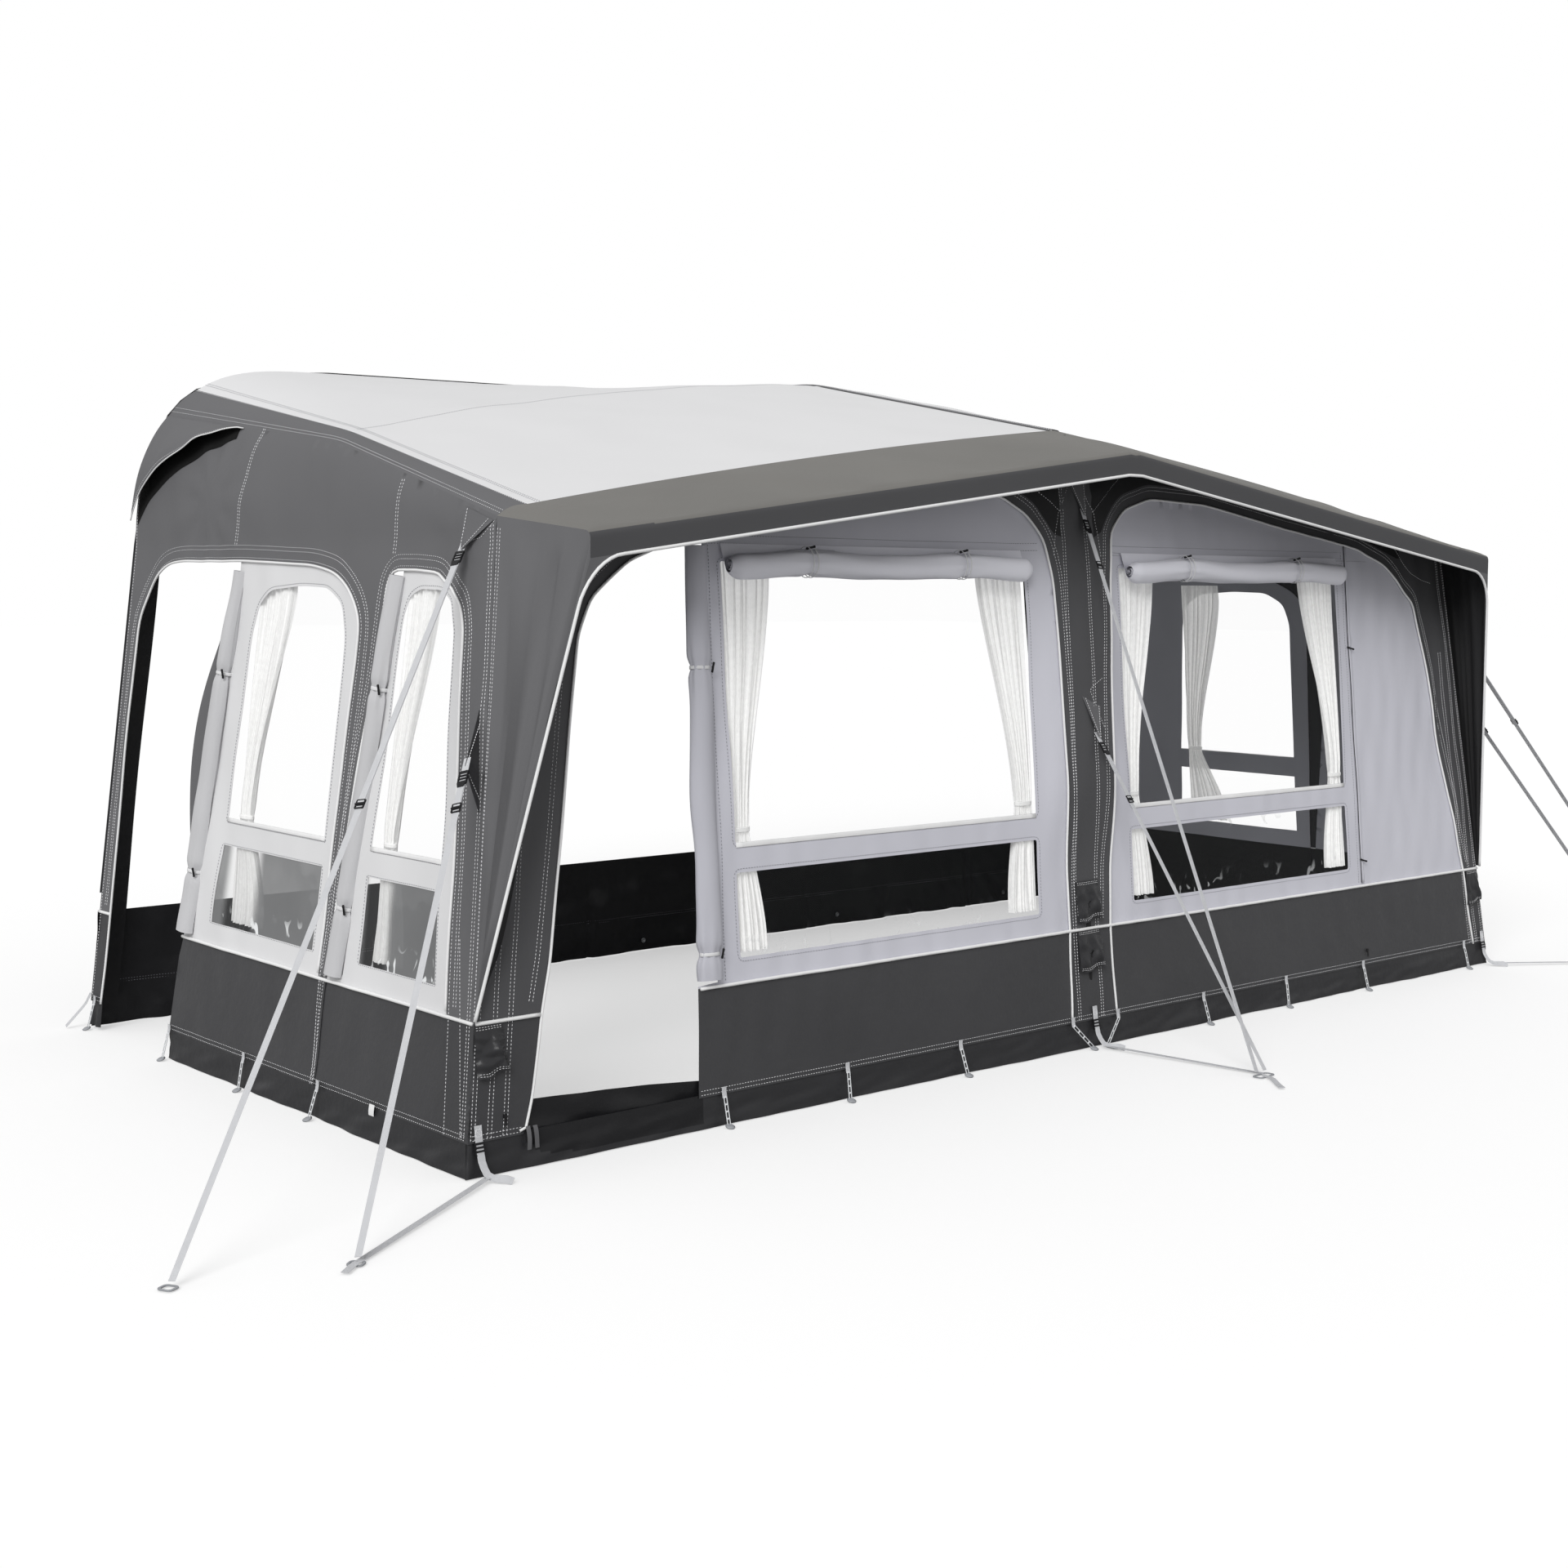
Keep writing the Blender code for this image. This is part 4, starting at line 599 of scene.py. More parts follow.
def clothOn(name, surface, outline, holes, look, lift=0.0, step=None, lines=(), dark=None, inside=None, stands=(),
            body="canopy", thick=None, rests=("air_pole_centre",), liningAndShade=None):
    # a cut-out carried onto a surface; it has the second finish below the height dark
    # and the third where the lining-and-shade mask says so
    step = step or awning["grid"]
    flat, faces = filled(outline, holes, step, lines)
    points = surface(flat[:, 0], flat[:, 1], lift)
    faces = facingOut(points, faces, middle if inside is None else inside)
    centre = flat[faces].mean(axis=1)
    chosen = None if dark is None else (centre[:, 1] < dark).astype(int)
    if liningAndShade is not None:
        chosen[liningAndShade(centre[:, 0], centre[:, 1])] = 2
    thick = awning["cloth"] if thick is None else thick
    made = newPiece(name, points, faces, look, body, flat, chosen, thick, stands)
    declareSheet(points, faces, flat.max(axis=0) - flat.min(axis=0), rests)
    return made


def gridCloth(name, grid, look, inside=None, stands=(), body="canopy", thick=None,
              rests=("air_pole_centre",), chosen=None):
    # a cloth given as rows and columns of points; its UV map runs along them in metres
    rows, columns = grid.shape[:2]
    across = np.concatenate([[0], np.cumsum(np.linalg.norm(np.diff(grid, axis=1), axis=2).mean(axis=0))])
    down = np.concatenate([[0], np.cumsum(np.linalg.norm(np.diff(grid, axis=0), axis=2).mean(axis=1))])
    v, u = np.meshgrid(down, across, indexing="ij")
    points = grid.reshape(-1, 3)
    faces = gridFaces(rows, columns)
    if chosen is not None:
        chosen = chosen(points[faces].mean(axis=1))
    faces = facingOut(points, faces, middle if inside is None else np.asarray(inside, float))
    made = newPiece(name, points, faces, look, body, np.stack([u, v], axis=-1), chosen,
                    awning["cloth"] if thick is None else thick, stands)
    declareSheet(points, faces, (across[-1], down[-1]), rests)
    return made


def mirrored(points):
    return np.asarray(points) * (-1, 1, 1)


def swept(path, profile, up=(0, 0, 1), closed=False, size=None):
    # a closed profile (sideways, upwards) carried along a path, upright to the path and to `up`
    path = np.asarray(path, float)
    if closed:
        tangent = unit(np.roll(path, -1, axis=0) - np.roll(path, 1, axis=0))
    else:
        tangent = unit(np.gradient(path, axis=0))
    side = unit(np.cross(tangent, np.asarray(up, float)))
    upward = np.cross(side, tangent)
    profile = np.asarray(profile, float)
    if profile.ndim == 2:
        profile = np.broadcast_to(profile, (len(path),) + profile.shape)
    if size is not None:
        profile = profile * np.asarray(size, float)[:, None, None]
    points = path[:, None] + side[:, None] * profile[..., :1] + upward[:, None] * profile[..., 1:]
    rows, columns = points.shape[:2]
    faces = [gridFaces(rows, columns, closed, True)]
    if not closed:
        faces += [[list(range(columns))[::-1]], [list(range((rows - 1) * columns, rows * columns))]]
    across = runLength(np.vstack([profile[0], profile[0][:1]]))[:-1]
    v, u = np.meshgrid(runLength(path), across, indexing="ij")
    return points.reshape(-1, 3), faces, np.stack([u, v], axis=-1).reshape(-1, 2)


def disc(radius, sides=10, second=None):  # a round or oval profile
    turn = -np.arange(sides) * math.tau / sides
    return np.stack([radius * np.cos(turn), (second or radius) * np.sin(turn)], axis=1)


def slab(width, thick):  # a flat profile with rounded edges
    w, t = width / 2, thick / 2
    return np.array([(w - t, t), (w, 0), (w - t, -t), (-w + t, -t), (-w, 0), (-w + t, t)])


def gathered(parts):  # several (points, faces, uv) into one
    points, faces, uvs, start = [], [], [], 0
    for part in parts:
        place, lists, uv = part
        faces += [[start + i for i in face] for face in faceList(lists)]
        points.append(place)
        uvs.append(uv)
        start += len(place)
    return np.concatenate(points), faces, np.concatenate(uvs)


def gatheredPiece(name, parts, look, mapped=False, **more):
    points, faces, uv = gathered(parts)
    return newPiece(name, points, faces, look, uv=uv if mapped else None, **more)


def lineOn(surface, path, lift=0.0):  # a drawn line on a surface, with the surface's normals
    path = np.asarray(path, float)
    points = surface(path[:, 0], path[:, 1], lift)
    return points, unit(surface(path[:, 0], path[:, 1], lift + 0.002) - points)


def beside(path, distance):
    step = unit(np.gradient(np.asarray(path, float), axis=0))
    return path + distance * np.stack([-step[:, 1], step[:, 0]], axis=1)


def threads(points, normals, pitch=0.011, long=0.0085, wide=0.0025, high=0.0013):
    # one kite-shaped stitch for each pitch of the line: two ends, two sides and a crown
    normals = np.broadcast_to(np.asarray(normals, float), points.shape)
    run = runLength(points)
    count = max(2, int(run[-1] / pitch))
    at = np.linspace(0, run[-1], count + 1)
    line = np.stack([np.interp(at, run, points[:, k]) for k in range(3)], axis=1)
    up = unit(np.stack([np.interp(at, run, normals[:, k]) for k in range(3)], axis=1))
    up = unit(up[1:] + up[:-1])
    centre = (line[1:] + line[:-1]) / 2
    along = unit(line[1:] - line[:-1])
    side = unit(np.cross(along, up))
    base = centre - up * 0.0004
    corners = np.stack([base - along * long / 2, base + along * long / 2, base - side * wide / 2,
                        base + side * wide / 2, centre + up * high], axis=1)
    pattern = np.array([[0, 3, 4], [3, 1, 4], [1, 2, 4], [2, 0, 4], [0, 2, 3], [2, 1, 3]])
    faces = (np.arange(count)[:, None, None] * 5 + pattern).reshape(-1, 3)
    return corners.reshape(-1, 3), faces


seams = {}  # stitches wait here by piece name until their cloths are made


def sew(piece, surface, path, lift=layer["stitch"], rows=2, apart=0.013):
    path = resampled(path, 0.02)
    for k in range(rows):
        sewFree(piece, *lineOn(surface, beside(path, apart * (k - (rows - 1) / 2)), lift))


def sewFree(piece, points, normals, pitch=0.011):
    seams.setdefault(piece, []).append(threads(np.asarray(points, float), normals, pitch))


pipes = {}


def pipe(piece, points, up=(0, 0, 1), radius=0.0042, closed=False):
    path = resampled(points, 0.025)
    pipes.setdefault(piece, []).append(swept(path, disc(radius, 8), up, closed))


# Camera, light and floor

view = {"place": (-5.790, -5.75545, 1.6843), "yaw": 0.7199, "pitch": 0.0973, "roll": 0.0095, "lens": 47.69}
light = {"world": 0.62, "sun": 1.85, "from": (-0.68, -0.44, 0.55), "wide": 32.0, "floor": 0.9, "bounce": 0.42,
         "glow": 0.38, "lift": 1.28}


def setCamera():
    yaw, pitch, roll = view["yaw"], view["pitch"], view["roll"]
    ahead = Vector((math.sin(yaw) * math.cos(pitch), math.cos(yaw) * math.cos(pitch), -math.sin(pitch)))
    level = Vector((math.cos(yaw), -math.sin(yaw), 0))
    upright = level.cross(ahead)
    side = level * math.cos(roll) + upright * math.sin(roll)
    top = upright * math.cos(roll) - level * math.sin(roll)
    lens = bpy.data.cameras.new("camera")
    lens.lens = view["lens"]
    lens.sensor_width = 36
    made = bpy.data.objects.new("camera", lens)
    bpy.context.scene.collection.objects.link(made)
    turn = Matrix((side, top, -ahead)).transposed().to_4x4()
    made.matrix_world = Matrix.Translation(view["place"]) @ turn
    bpy.context.scene.camera = made


def seenRay(flow):  # 1 for what the camera, a mirror or a clear film shows
    path = flow.node("ShaderNodeLightPath")
    outs = path.out.node.outputs
    ways = [Flow(flow.tree, outs[name]) for name in ("Is Camera Ray", "Is Glossy Ray", "Is Transmission Ray")]
    return ways[0].maths("MAXIMUM", ways[0], ways[1]).maths("MAXIMUM", ways[0], ways[2])


def setLight():
    world = bpy.data.worlds.new("studio")
    bpy.context.scene.world = world
    world.use_nodes = True
    flow = Flow(world.node_tree)
    back = world.node_tree.nodes["Background"]
    back.inputs["Color"].default_value = (1, 1, 1, 1)
    strength = seenRay(flow) * (1 - light["world"]) + light["world"]
    world.node_tree.links.new(strength.out, back.inputs["Strength"])
    lamp = bpy.data.lights.new("softSun", "SUN")
    lamp.energy = light["sun"]
    lamp.angle = math.radians(light["wide"])
    sun = bpy.data.objects.new("softSun", lamp)
    sun.rotation_euler = Vector(light["from"]).to_track_quat("Z", "Y").to_euler()
    bpy.context.scene.collection.objects.link(sun)


def setFloor():
    made = bpy.data.materials.new("paleFloor")
    made.use_nodes = True
    tree = made.node_tree
    tree.nodes.remove(tree.nodes["Principled BSDF"])
    flow = Flow(tree)
    shade = seenRay(flow).mixed((light["bounce"],) * 3 + (1,), (light["floor"],) * 3 + (1,))
    matt = flow.node("ShaderNodeBsdfDiffuse", (), {"Color": shade})
    glow = flow.node("ShaderNodeEmission", (), {"Color": (1, 1, 1, 1), "Strength": light["lift"]})
    both = flow.node("ShaderNodeMixShader", (), {0: seenRay(flow) * light["glow"], 1: matt, 2: glow})
    tree.links.new(both.out, tree.nodes["Material Output"].inputs["Surface"])
    mesh = bpy.data.meshes.new("floor")
    reach = 60
    mesh.from_pydata([(-reach, -reach, -0.002), (reach, -reach, -0.002), (reach, reach, -0.002),
                      (-reach, reach, -0.002)], [], [(0, 1, 2, 3)])
    mesh.materials.append(made)
    floor = bpy.data.objects.new("floor", mesh)
    bpy.context.scene.collection.objects.link(floor)


bpy.context.scene.view_settings.view_transform = "Standard"
setCamera()
setLight()
setFloor()
print("camera, light and floor set")


# Hood

hood = {"reach": 0.12, "halfWidth": 2.36, "ridge": 2.15, "end": 1.82, "drop": 0.077, "round": 0.022,
        "backWidth": 2.467, "backEnd": (2.467, 0.1853, 1.863), "columns": 90}


def hoodBack(s):  # the seam to the light roof, then on to the wall's corner
    split = 2.36 / hood["backWidth"]
    on = np.clip(s / split, 0, 1)
    past = np.clip((s - split) / (1 - split), 0, 1)[..., None]
    bulge = np.array(border["bulge"]) * np.sin(np.pi * past)
    return seamLine(on) + (np.array(hood["backEnd"]) - seamLine(np.ones_like(s))) * past + bulge


def hoodFold(s):
    return triple(hood["halfWidth"] * s, -hood["reach"], hood["ridge"] - (hood["ridge"] - hood["end"]) * s)


def hoodGrid():
    split = 2.36 / hood["backWidth"]
    s = np.concatenate([np.linspace(0, split, hood["columns"])[:-1], np.linspace(split, 1, 9)])
    back, fold = hoodBack(s), hoodFold(s)
    toBack = unit(back - fold)
    start = fold + toBack * hood["round"]
    end = fold - np.array([0, 0, hood["round"]])
    low = fold - np.array([0, 0, hood["drop"]])
    top = [back + (start - back) * t for t in np.linspace(0, 1, 14)]
    bend = [start * (1 - t) ** 2 + fold * 2 * t * (1 - t) + end * t ** 2 for t in np.linspace(0.12, 0.88, 7)]
    fall = [end + (low - end) * t for t in np.linspace(0, 1, 4)]
    half = np.stack(top + bend + fall)
    rows = len(half)
    w = np.linspace(0, 1, rows)[:, None]
    x = half[..., 0]
    soft = 0.0024 * ripple(x, w * 0.5, 31, 0.5) + 0.0016 * ripple(x, w * 0.4, 32, 0.22)
    pinned = fade(w, 0, 0.12) * fade(1 - s[None], 0, 0.02) * (1 - fade(w, 0.5, 0.62))
    puff = 0.002 * np.sin(np.pi * np.clip(w / 0.62, 0, 1)) * fade(1 - s[None], 0, 0.08)
    half = half + triple(0, -0.5 * soft * pinned, (soft + puff) * pinned)
    crease = 0.006 * hump(x, 0, 0.012) * fade(w, 0.02, 0.1)
    half = half - triple(0, -0.3 * crease, crease)
    other = mirrored(half)[:, :0:-1]
    return np.concatenate([other, half], axis=1)


hoodCloth = hoodGrid()
# the hood's front face takes the darker copy of its cloth: painted shade
gridCloth("hoodShell", hoodCloth, ["hood", "hoodFallShade", "liningAndShade", "liningAndShade"], inside=(0, 0.3, 1.0),
          stands=("front_hood",), chosen=lambda spot: spot[:, 1] < -hood["reach"] + 0.004)
hoodEdge = hoodCloth[-1]


def hoodUnder(s):  # where the hood passes over the front wall's plane, a little below the cloth
    back, fold = hoodBack(s), hoodFold(s)
    lean = awning["frontLean"]
    gap = back[..., 1] - lean * back[..., 2]
    gone = gap / (gap - (fold[..., 1] - lean * fold[..., 2]))
    spot = back + (fold - back) * gone[..., None]
    return np.stack([spot[..., 0], spot[..., 2] - 0.006], axis=-1)


# Front frame: posts, top and lower band in one cloth

frontPlan = {
    "leftBay": [(-.105, .434), (-.120, .9), (-.134, 1.432), (-.146, 1.70), (-.170, 1.824), (-.240, 1.926),
                (-.345, 1.981), (-.464, 2.0), (-.804, 1.985), (-1.285, 1.912), (-1.75, 1.835), (-2.016, 1.741),
                (-2.162, 1.631), (-2.214, 1.52), (-2.266, 1.231), (-2.306, .995), (-2.381, .577), (-2.42, .426),
                (-2.466, .2), (-2.50, .10)],
    "rightBay": [(.115, .434), (.140, .9), (.159, 1.367), (.181, 1.70), (.208, 1.878), (.318, 1.963),
                 (.464, 2.005), (.804, 1.993), (1.285, 1.916), (1.81, 1.843), (2.03, 1.774), (2.218, 1.614),
                 (2.31, 1.323), (2.399, .909), (2.525, .434)],
    "door": [(-1.724, 1.84), (-1.735, 1.1), (-1.750, .445), (-1.832, .440)],
    "bandEdge": [(-1.834, .434), (-1.842, .30), (-1.855, .10)],
    "window": (0.26, 1.655), "cross": (0.775, 0.866), "sill": 0.51, "top": 1.745}
leftBay = rounded(frontPlan["leftBay"], 0.09)
rightBay = rounded(frontPlan["rightBay"], 0.09)
wallTop = hoodUnder(np.linspace(0, 1, 40))
wallLoop = np.concatenate([
    [(-sideX(0.10), 0.10), (-sideX(bandTop), bandTop)],
    (wallTop * (-1, 1))[::-1][:-1], wallTop, [(sideX(bandTop), bandTop), (sideX(0.10), 0.10)],
    frontPlan["bandEdge"][::-1], leftBay[:-1], [(-2.50, 0.10)]])
bandLines = [[(sideX(.434) - 0.003, bandTop), (-1.831, bandTop)],
             [(-2.4205, bandTop), (-sideX(.434) + 0.003, bandTop)]]
liningAndShadeEdge = {}  # where the dark lining and the painted shade under the hood begin, for each half
for sign, path in ((-1, leftBay), (1, rightBay)):
    edge = beside(path, sign * 0.057) * (sign, 1)
    edge = edge[(edge[:, 1] > 1.86) & (edge[:, 0] < 2.0)]
    liningAndShadeEdge[sign] = np.concatenate([[(0.088, 1.85)], edge, [(2.14, 1.80)]])


# the front frame under the hood: partly a dark strip of cloth, partly painted shade from the hood
def isLiningAndShade(x, v):
    over = np.where(x < 0, *(np.interp(np.abs(x), *liningAndShadeEdge[k].T) for k in (-1, 1)))
    return (np.abs(x) > 0.088) & (np.abs(x) < 2.14) & (v > over)


liningAndShadeLines = []
for sign in (-1, 1):
    ends = hoodUnder(np.array([0.088, 2.14]) / hood["backWidth"]) - (0, 0.004)
    liningAndShadeLines.append(np.concatenate([ends[:1], liningAndShadeEdge[sign], ends[1:]]) * (sign, 1))
clothOn("frontFrame", frontCloth, wallLoop, [rightBay[1:-1].tolist() + [(2.525, .434), (.115, .434)]],
        ["frame", "band", "liningAndShade", "wallInside", "bandInside", "liningAndShade"], lines=bandLines + liningAndShadeLines,
        dark=bandTop, stands=("front_wall",), liningAndShade=isLiningAndShade)
print("hood and front frame made")


# Front panels with their windows

def windowHoles(low, high, cross, sill, top, curve=0.009):
    # upper and lower opening; the corners are cut round with four points each
    def rounding(x0, y0, x1, y1):
        turn = np.linspace(0, math.pi / 2, 5)
        corners = [(x1 - curve, y1 - curve, 0), (x0 + curve, y1 - curve, 1), (x0 + curve, y0 + curve, 2),
                   (x1 - curve, y0 + curve, 3)]
        return np.array([(x + curve * math.cos(t + k * math.pi / 2), y + curve * math.sin(t + k * math.pi / 2))
                         for x, y, k in corners for t in turn])
    return [rounding(low, cross[1], high, top), rounding(low, sill, high, cross[0])]


x0, x1 = frontPlan["window"]
frontHoles = windowHoles(x0, x1, frontPlan["cross"], frontPlan["sill"], frontPlan["top"])
leftPanelTop = leftBay[:int(np.argmax(leftBay[:, 0] < -1.727))]
leftPanel = np.concatenate([[(-1.830, .424), (-.095, .424)], beside(leftPanelTop, -0.010)[2:], frontPlan["door"]])
clothOn("frontPanelLeft", frontCloth, leftPanel, [hole * (-1, 1) for hole in frontHoles],
        ["panel", "panelInside"], layer["panel"], stands=("front_panel_left",))
doorLine = [(1.745, .424), (1.735, .9)]
rightTop = rightBay[:int(np.argmax(rightBay[:, 0] > 1.722))]
rightPanel = np.concatenate([[(.105, .424)], beside(rightTop, 0.010)[2:],
                             [(1.722, 1.866), doorLine[1], doorLine[0]]])
clothOn("frontPanelRight", frontCloth, rightPanel, frontHoles, ["panel", "panelInside"],
        layer["panel"], stands=("front_panel_right",))
rightSide = rightBay[int(np.argmax(rightBay[:, 0] > 1.722)):]
rightDoor = np.concatenate([[(1.747, .424), (1.737, .9), (1.724, 1.866)],
                            beside(rightSide, 0.010), [(2.527, .424)]])
clothOn("frontDoorRight", frontCloth, rightDoor, [], ["panel", "panelInside"], layer["panel"],
        stands=("front_door_right",))
for side, sign in bothSides:
    glass = np.array([(x0 - .015, frontPlan["sill"] - .015), (x1 + .015, frontPlan["sill"] - .015),
                      (x1 + .015, 1.76), (x0 - .015, 1.76)]) * (sign, 1)
    clothOn("frontFilm" + side.title(), frontCloth, glass, [], ["film"], layer["film"], thick=0.0,
            stands=("window_film_front_" + side,))


# Roof

roofPlan = {"columns": 46, "rows": 60}
roofU = np.concatenate([np.linspace(0, 0.06, 4)[:-1], np.linspace(0.06, 0.998, roofPlan["columns"]), [1.0]])
roofT = np.unique(np.concatenate([np.linspace(0, 2, roofPlan["rows"]), np.linspace(0.9, 1.1, 15), [0.004, 1.996]]))
roofGrid = roofAt(*np.meshgrid(roofU, roofT))
roofGrid = roofGrid - triple(0, 0, 0.004 * hump(roofGrid[..., 0], 0, 0.015))
for side, sign in bothSides:
    gridCloth("roof" + side.title(), roofGrid * (sign, 1, 1), ["roof", "roofInside"], stands=("roof_" + side,))
stripU = np.array([-0.0125, -0.010, 0, 0.010, 0.0125])  # shares of 2.3 m: a strip of about 56 mm
strip = np.stack([roofAt(np.abs(u), roofT, 1 if u >= 0 else -1, 0.0035 if abs(u) < 0.0124 else 0.0015)
                  for u in stripU], axis=1)
gridCloth("ridgeCover", strip, ["wall", "wallInside"], stands=("ridge_strip",), rests=("roofLeft",))


# Side skins: upper wall and frame with its two arches in one cloth, and the roof border as a strip of its own

sidePlan = {
    "rearArch": [(.934, .10), (.93, .434), (.897, 1.557), (.958, 1.641), (1.08, 1.70), (1.235, 1.722),
                 (1.7, 1.735), (2.20, 1.735), (2.313, 1.728), (2.42, 1.66), (2.498, 1.526), (2.505, 1.0),
                 (2.505, .10)],
    "frontArch": [(.150, .10), (.19, .485), (.294, 1.537), (.325, 1.61), (.379, 1.653), (.478, 1.701),
                  (.60, 1.708), (.715, 1.708), (.737, 1.69), (.748, 1.66), (.88, .434), (.90, .10)],
    "rearEdge": [(1.732, 1.742), (1.829, .462), (1.90, .450), (1.925, .36), (1.94, .10)],
    "frontEdge": [(.674, 1.715), (.791, .462), (.893, .445)]}
rearArch = rounded(sidePlan["rearArch"], 0.16)
frontArch = rounded(sidePlan["frontArch"], 0.05)
borderY = np.linspace(2.6, 0.1853, 50)
borderSeam = np.stack([borderY, borderAt(borderY)[1]], axis=1)
sideLoop = np.concatenate([
    [(awning["frontLean"] * .10, .10), (.150, .10)], frontArch[1:-1],
    [(.90, .10), (.934, .10)], rearArch[1:-1], [(2.505, .10), (2.6, .10)], borderSeam,
    [(awning["frontLean"] * bandTop, bandTop)]])
sideBands = [[(.0425, bandTop), (.178, bandTop)], [(2.51, bandTop), (2.595, bandTop)]]


def borderStrip(sign, count=70):  # from the light roof's edge to the wall's top seam, a little round
    t = np.unique(np.concatenate([np.linspace(0, 2, count), np.linspace(0.9, 1.1, 15)]))
    top = roofAt(1.0, t, 1)
    low = station([np.array([border["x"][k], border["y"][k], border["z"][k]]) for k in range(3)], t)
    across = np.linspace(0, 1, 9)[None, :, None]
    grid = top[:, None] * (1 - across) + low[:, None] * across
    out = np.array(border["bulge"]) * np.sin(np.pi * across)
    lap = low + (0.0035, 0, -0.012)
    return np.concatenate([grid + out, lap[:, None]], axis=1) * (sign, 1, 1)


for side, sign in bothSides:
    surface = sideCloth(sign)
    clothOn("wallFrame" + side.title(), surface, sideLoop, [], ["wall", "band", "wallInside", "bandInside"],
            lines=sideBands, dark=bandTop, stands=("side_wall_" + side,))
    gridCloth("roofBorder" + side.title(), borderStrip(sign), ["wall", "wallInside"],
              stands=("upper_side_" + side,))
print("roof and side frames made")


# Side panels

sideWindows = {
    "rear": {"upper": [(.99, .866), (.985, 1.50), (1.02, 1.60), (1.12, 1.65), (1.30, 1.655), (1.50, 1.64),
                       (1.585, 1.59), (1.615, 1.49), (1.66, .866)],
             "lower": [(.992, .51), (.99, .775), (1.665, .775), (1.69, .51)],
             "curve": 0.10, "span": (.985, 1.662)},
    "front": {"upper": [(.305, .866), (.352, 1.53), (.385, 1.615), (.45, 1.65), (.57, 1.652), (.63, 1.63),
                        (.655, 1.57), (.685, .866)],
              "lower": [(.268, .51), (.297, .775), (.688, .775), (.70, .51)],
              "curve": 0.07, "span": (.300, .688)}}


def windowLoop(points, width):
    loop = np.asarray(points, float)
    return np.concatenate([loop[:1], rounded(loop, width)[1:-1], loop[-1:]])


sideHoles = {key: [windowLoop(item["upper"], item["curve"]), np.array(item["lower"])]
             for key, item in sideWindows.items()}


for side, sign in bothSides:
    surface = sideCloth(sign)
    if sign < 0:
        cut = int(np.argmax(rearArch[:, 0] > 1.73))
        rearPanel = np.concatenate([[(.924, .10)], beside(rearArch[:cut], 0.010)[2:],
                                    sidePlan["rearEdge"]])
    else:
        rearPanel = np.concatenate([[(.924, .10)], beside(rearArch, 0.010)[2:-2], [(2.515, .10)]])
    frontPanel = np.concatenate([[(.140, .10)], beside(frontArch, 0.010)[2:-2], [(.912, .10)]])
    if sign < 0:
        cut = int(np.argmax(frontArch[:, 0] > 0.672))
        frontPanel = np.concatenate([[(.140, .10)], beside(frontArch[:cut], 0.010)[2:], sidePlan["frontEdge"],
                                     [(.912, .10)]])
    for part, loop in (("rear", rearPanel), ("front", frontPanel)):
        name = side.title() + part.title()
        holes = sideHoles[part]
        left = np.interp(bandTop, [.10, .434], [loop[0, 0], .915 if part == "rear" else .174])
        right = {"rear": 1.875 if sign < 0 else 2.515, "front": .89}[part]
        clothOn("sidePanel" + name, surface, loop, holes, ["side", "band", "panelInside", "bandInside"],
                layer["panel"], lines=[[(left + 0.006, bandTop), (right - 0.006, bandTop)]],
                dark=bandTop, stands=("side_panel_%s_%s" % (side, part),), step=0.028)
        upper = holes[0]
        low, high = upper[:, 0].min(), upper[:, 0].max()
        both = np.concatenate(holes)
        glass = np.array([(both[both[:, 1] < .52][:, 0].min() - .014, .497), (upper[0, 0] - .014, .85),
                          (low - .012, 1.50), (low + .03, 1.645), (low + .12, 1.668), (high - .16, 1.668),
                          (high - .05, 1.63), (upper[-1, 0] + .014, .85), (both[:, 0].max() + .014, .497)])
        clothOn("sideFilm" + name, surface, glass, [], ["sideFilm" if sign < 0 else "film"], layer["film"],
                thick=0.0, stands=("window_film_%s_%s" % (side, part),))
print("side panels made")

# Hood wings, from the wall's corner to the free edge

wing = {"foot": 0.445, "rows": 46, "hollow": 0.010}


def cornerLine(z):
    return triple(sideX(z), awning["frontLean"] * np.asarray(z, float), z)


def wingGrid():
    top = hoodCloth[:, -1]
    run = runLength(top)
    w = run / run[-1]
    footBack = cornerLine(wing["foot"])
    foot = footBack + triple(0.006 * w, -0.0135 * w, 0 * w)
    r = np.linspace(0, 1, wing["rows"])[:, None]
    grid = top[None] * (1 - r[..., None]) + foot[None] * r[..., None]
    hollow = wing["hollow"] * np.sin(np.pi * w) * np.sin(np.pi * r) ** 0.7
    folds = 0.0140 * ripple(w * 1.2, r * 0.20, 41, 0.20) * np.sin(np.pi * w)
    folds = folds * fade(r, 0, 0.1) * (1 - fade(r, 0.85, 1))
    pull = 0.005 * np.sin(w * 14 + 3 * r) * np.sin(np.pi * w) * (1 - fade(r, 0.05, 0.5)) * fade(r, 0, 0.05)
    return grid + triple(folds + pull - hollow, 0.3 * folds, 0 * folds)


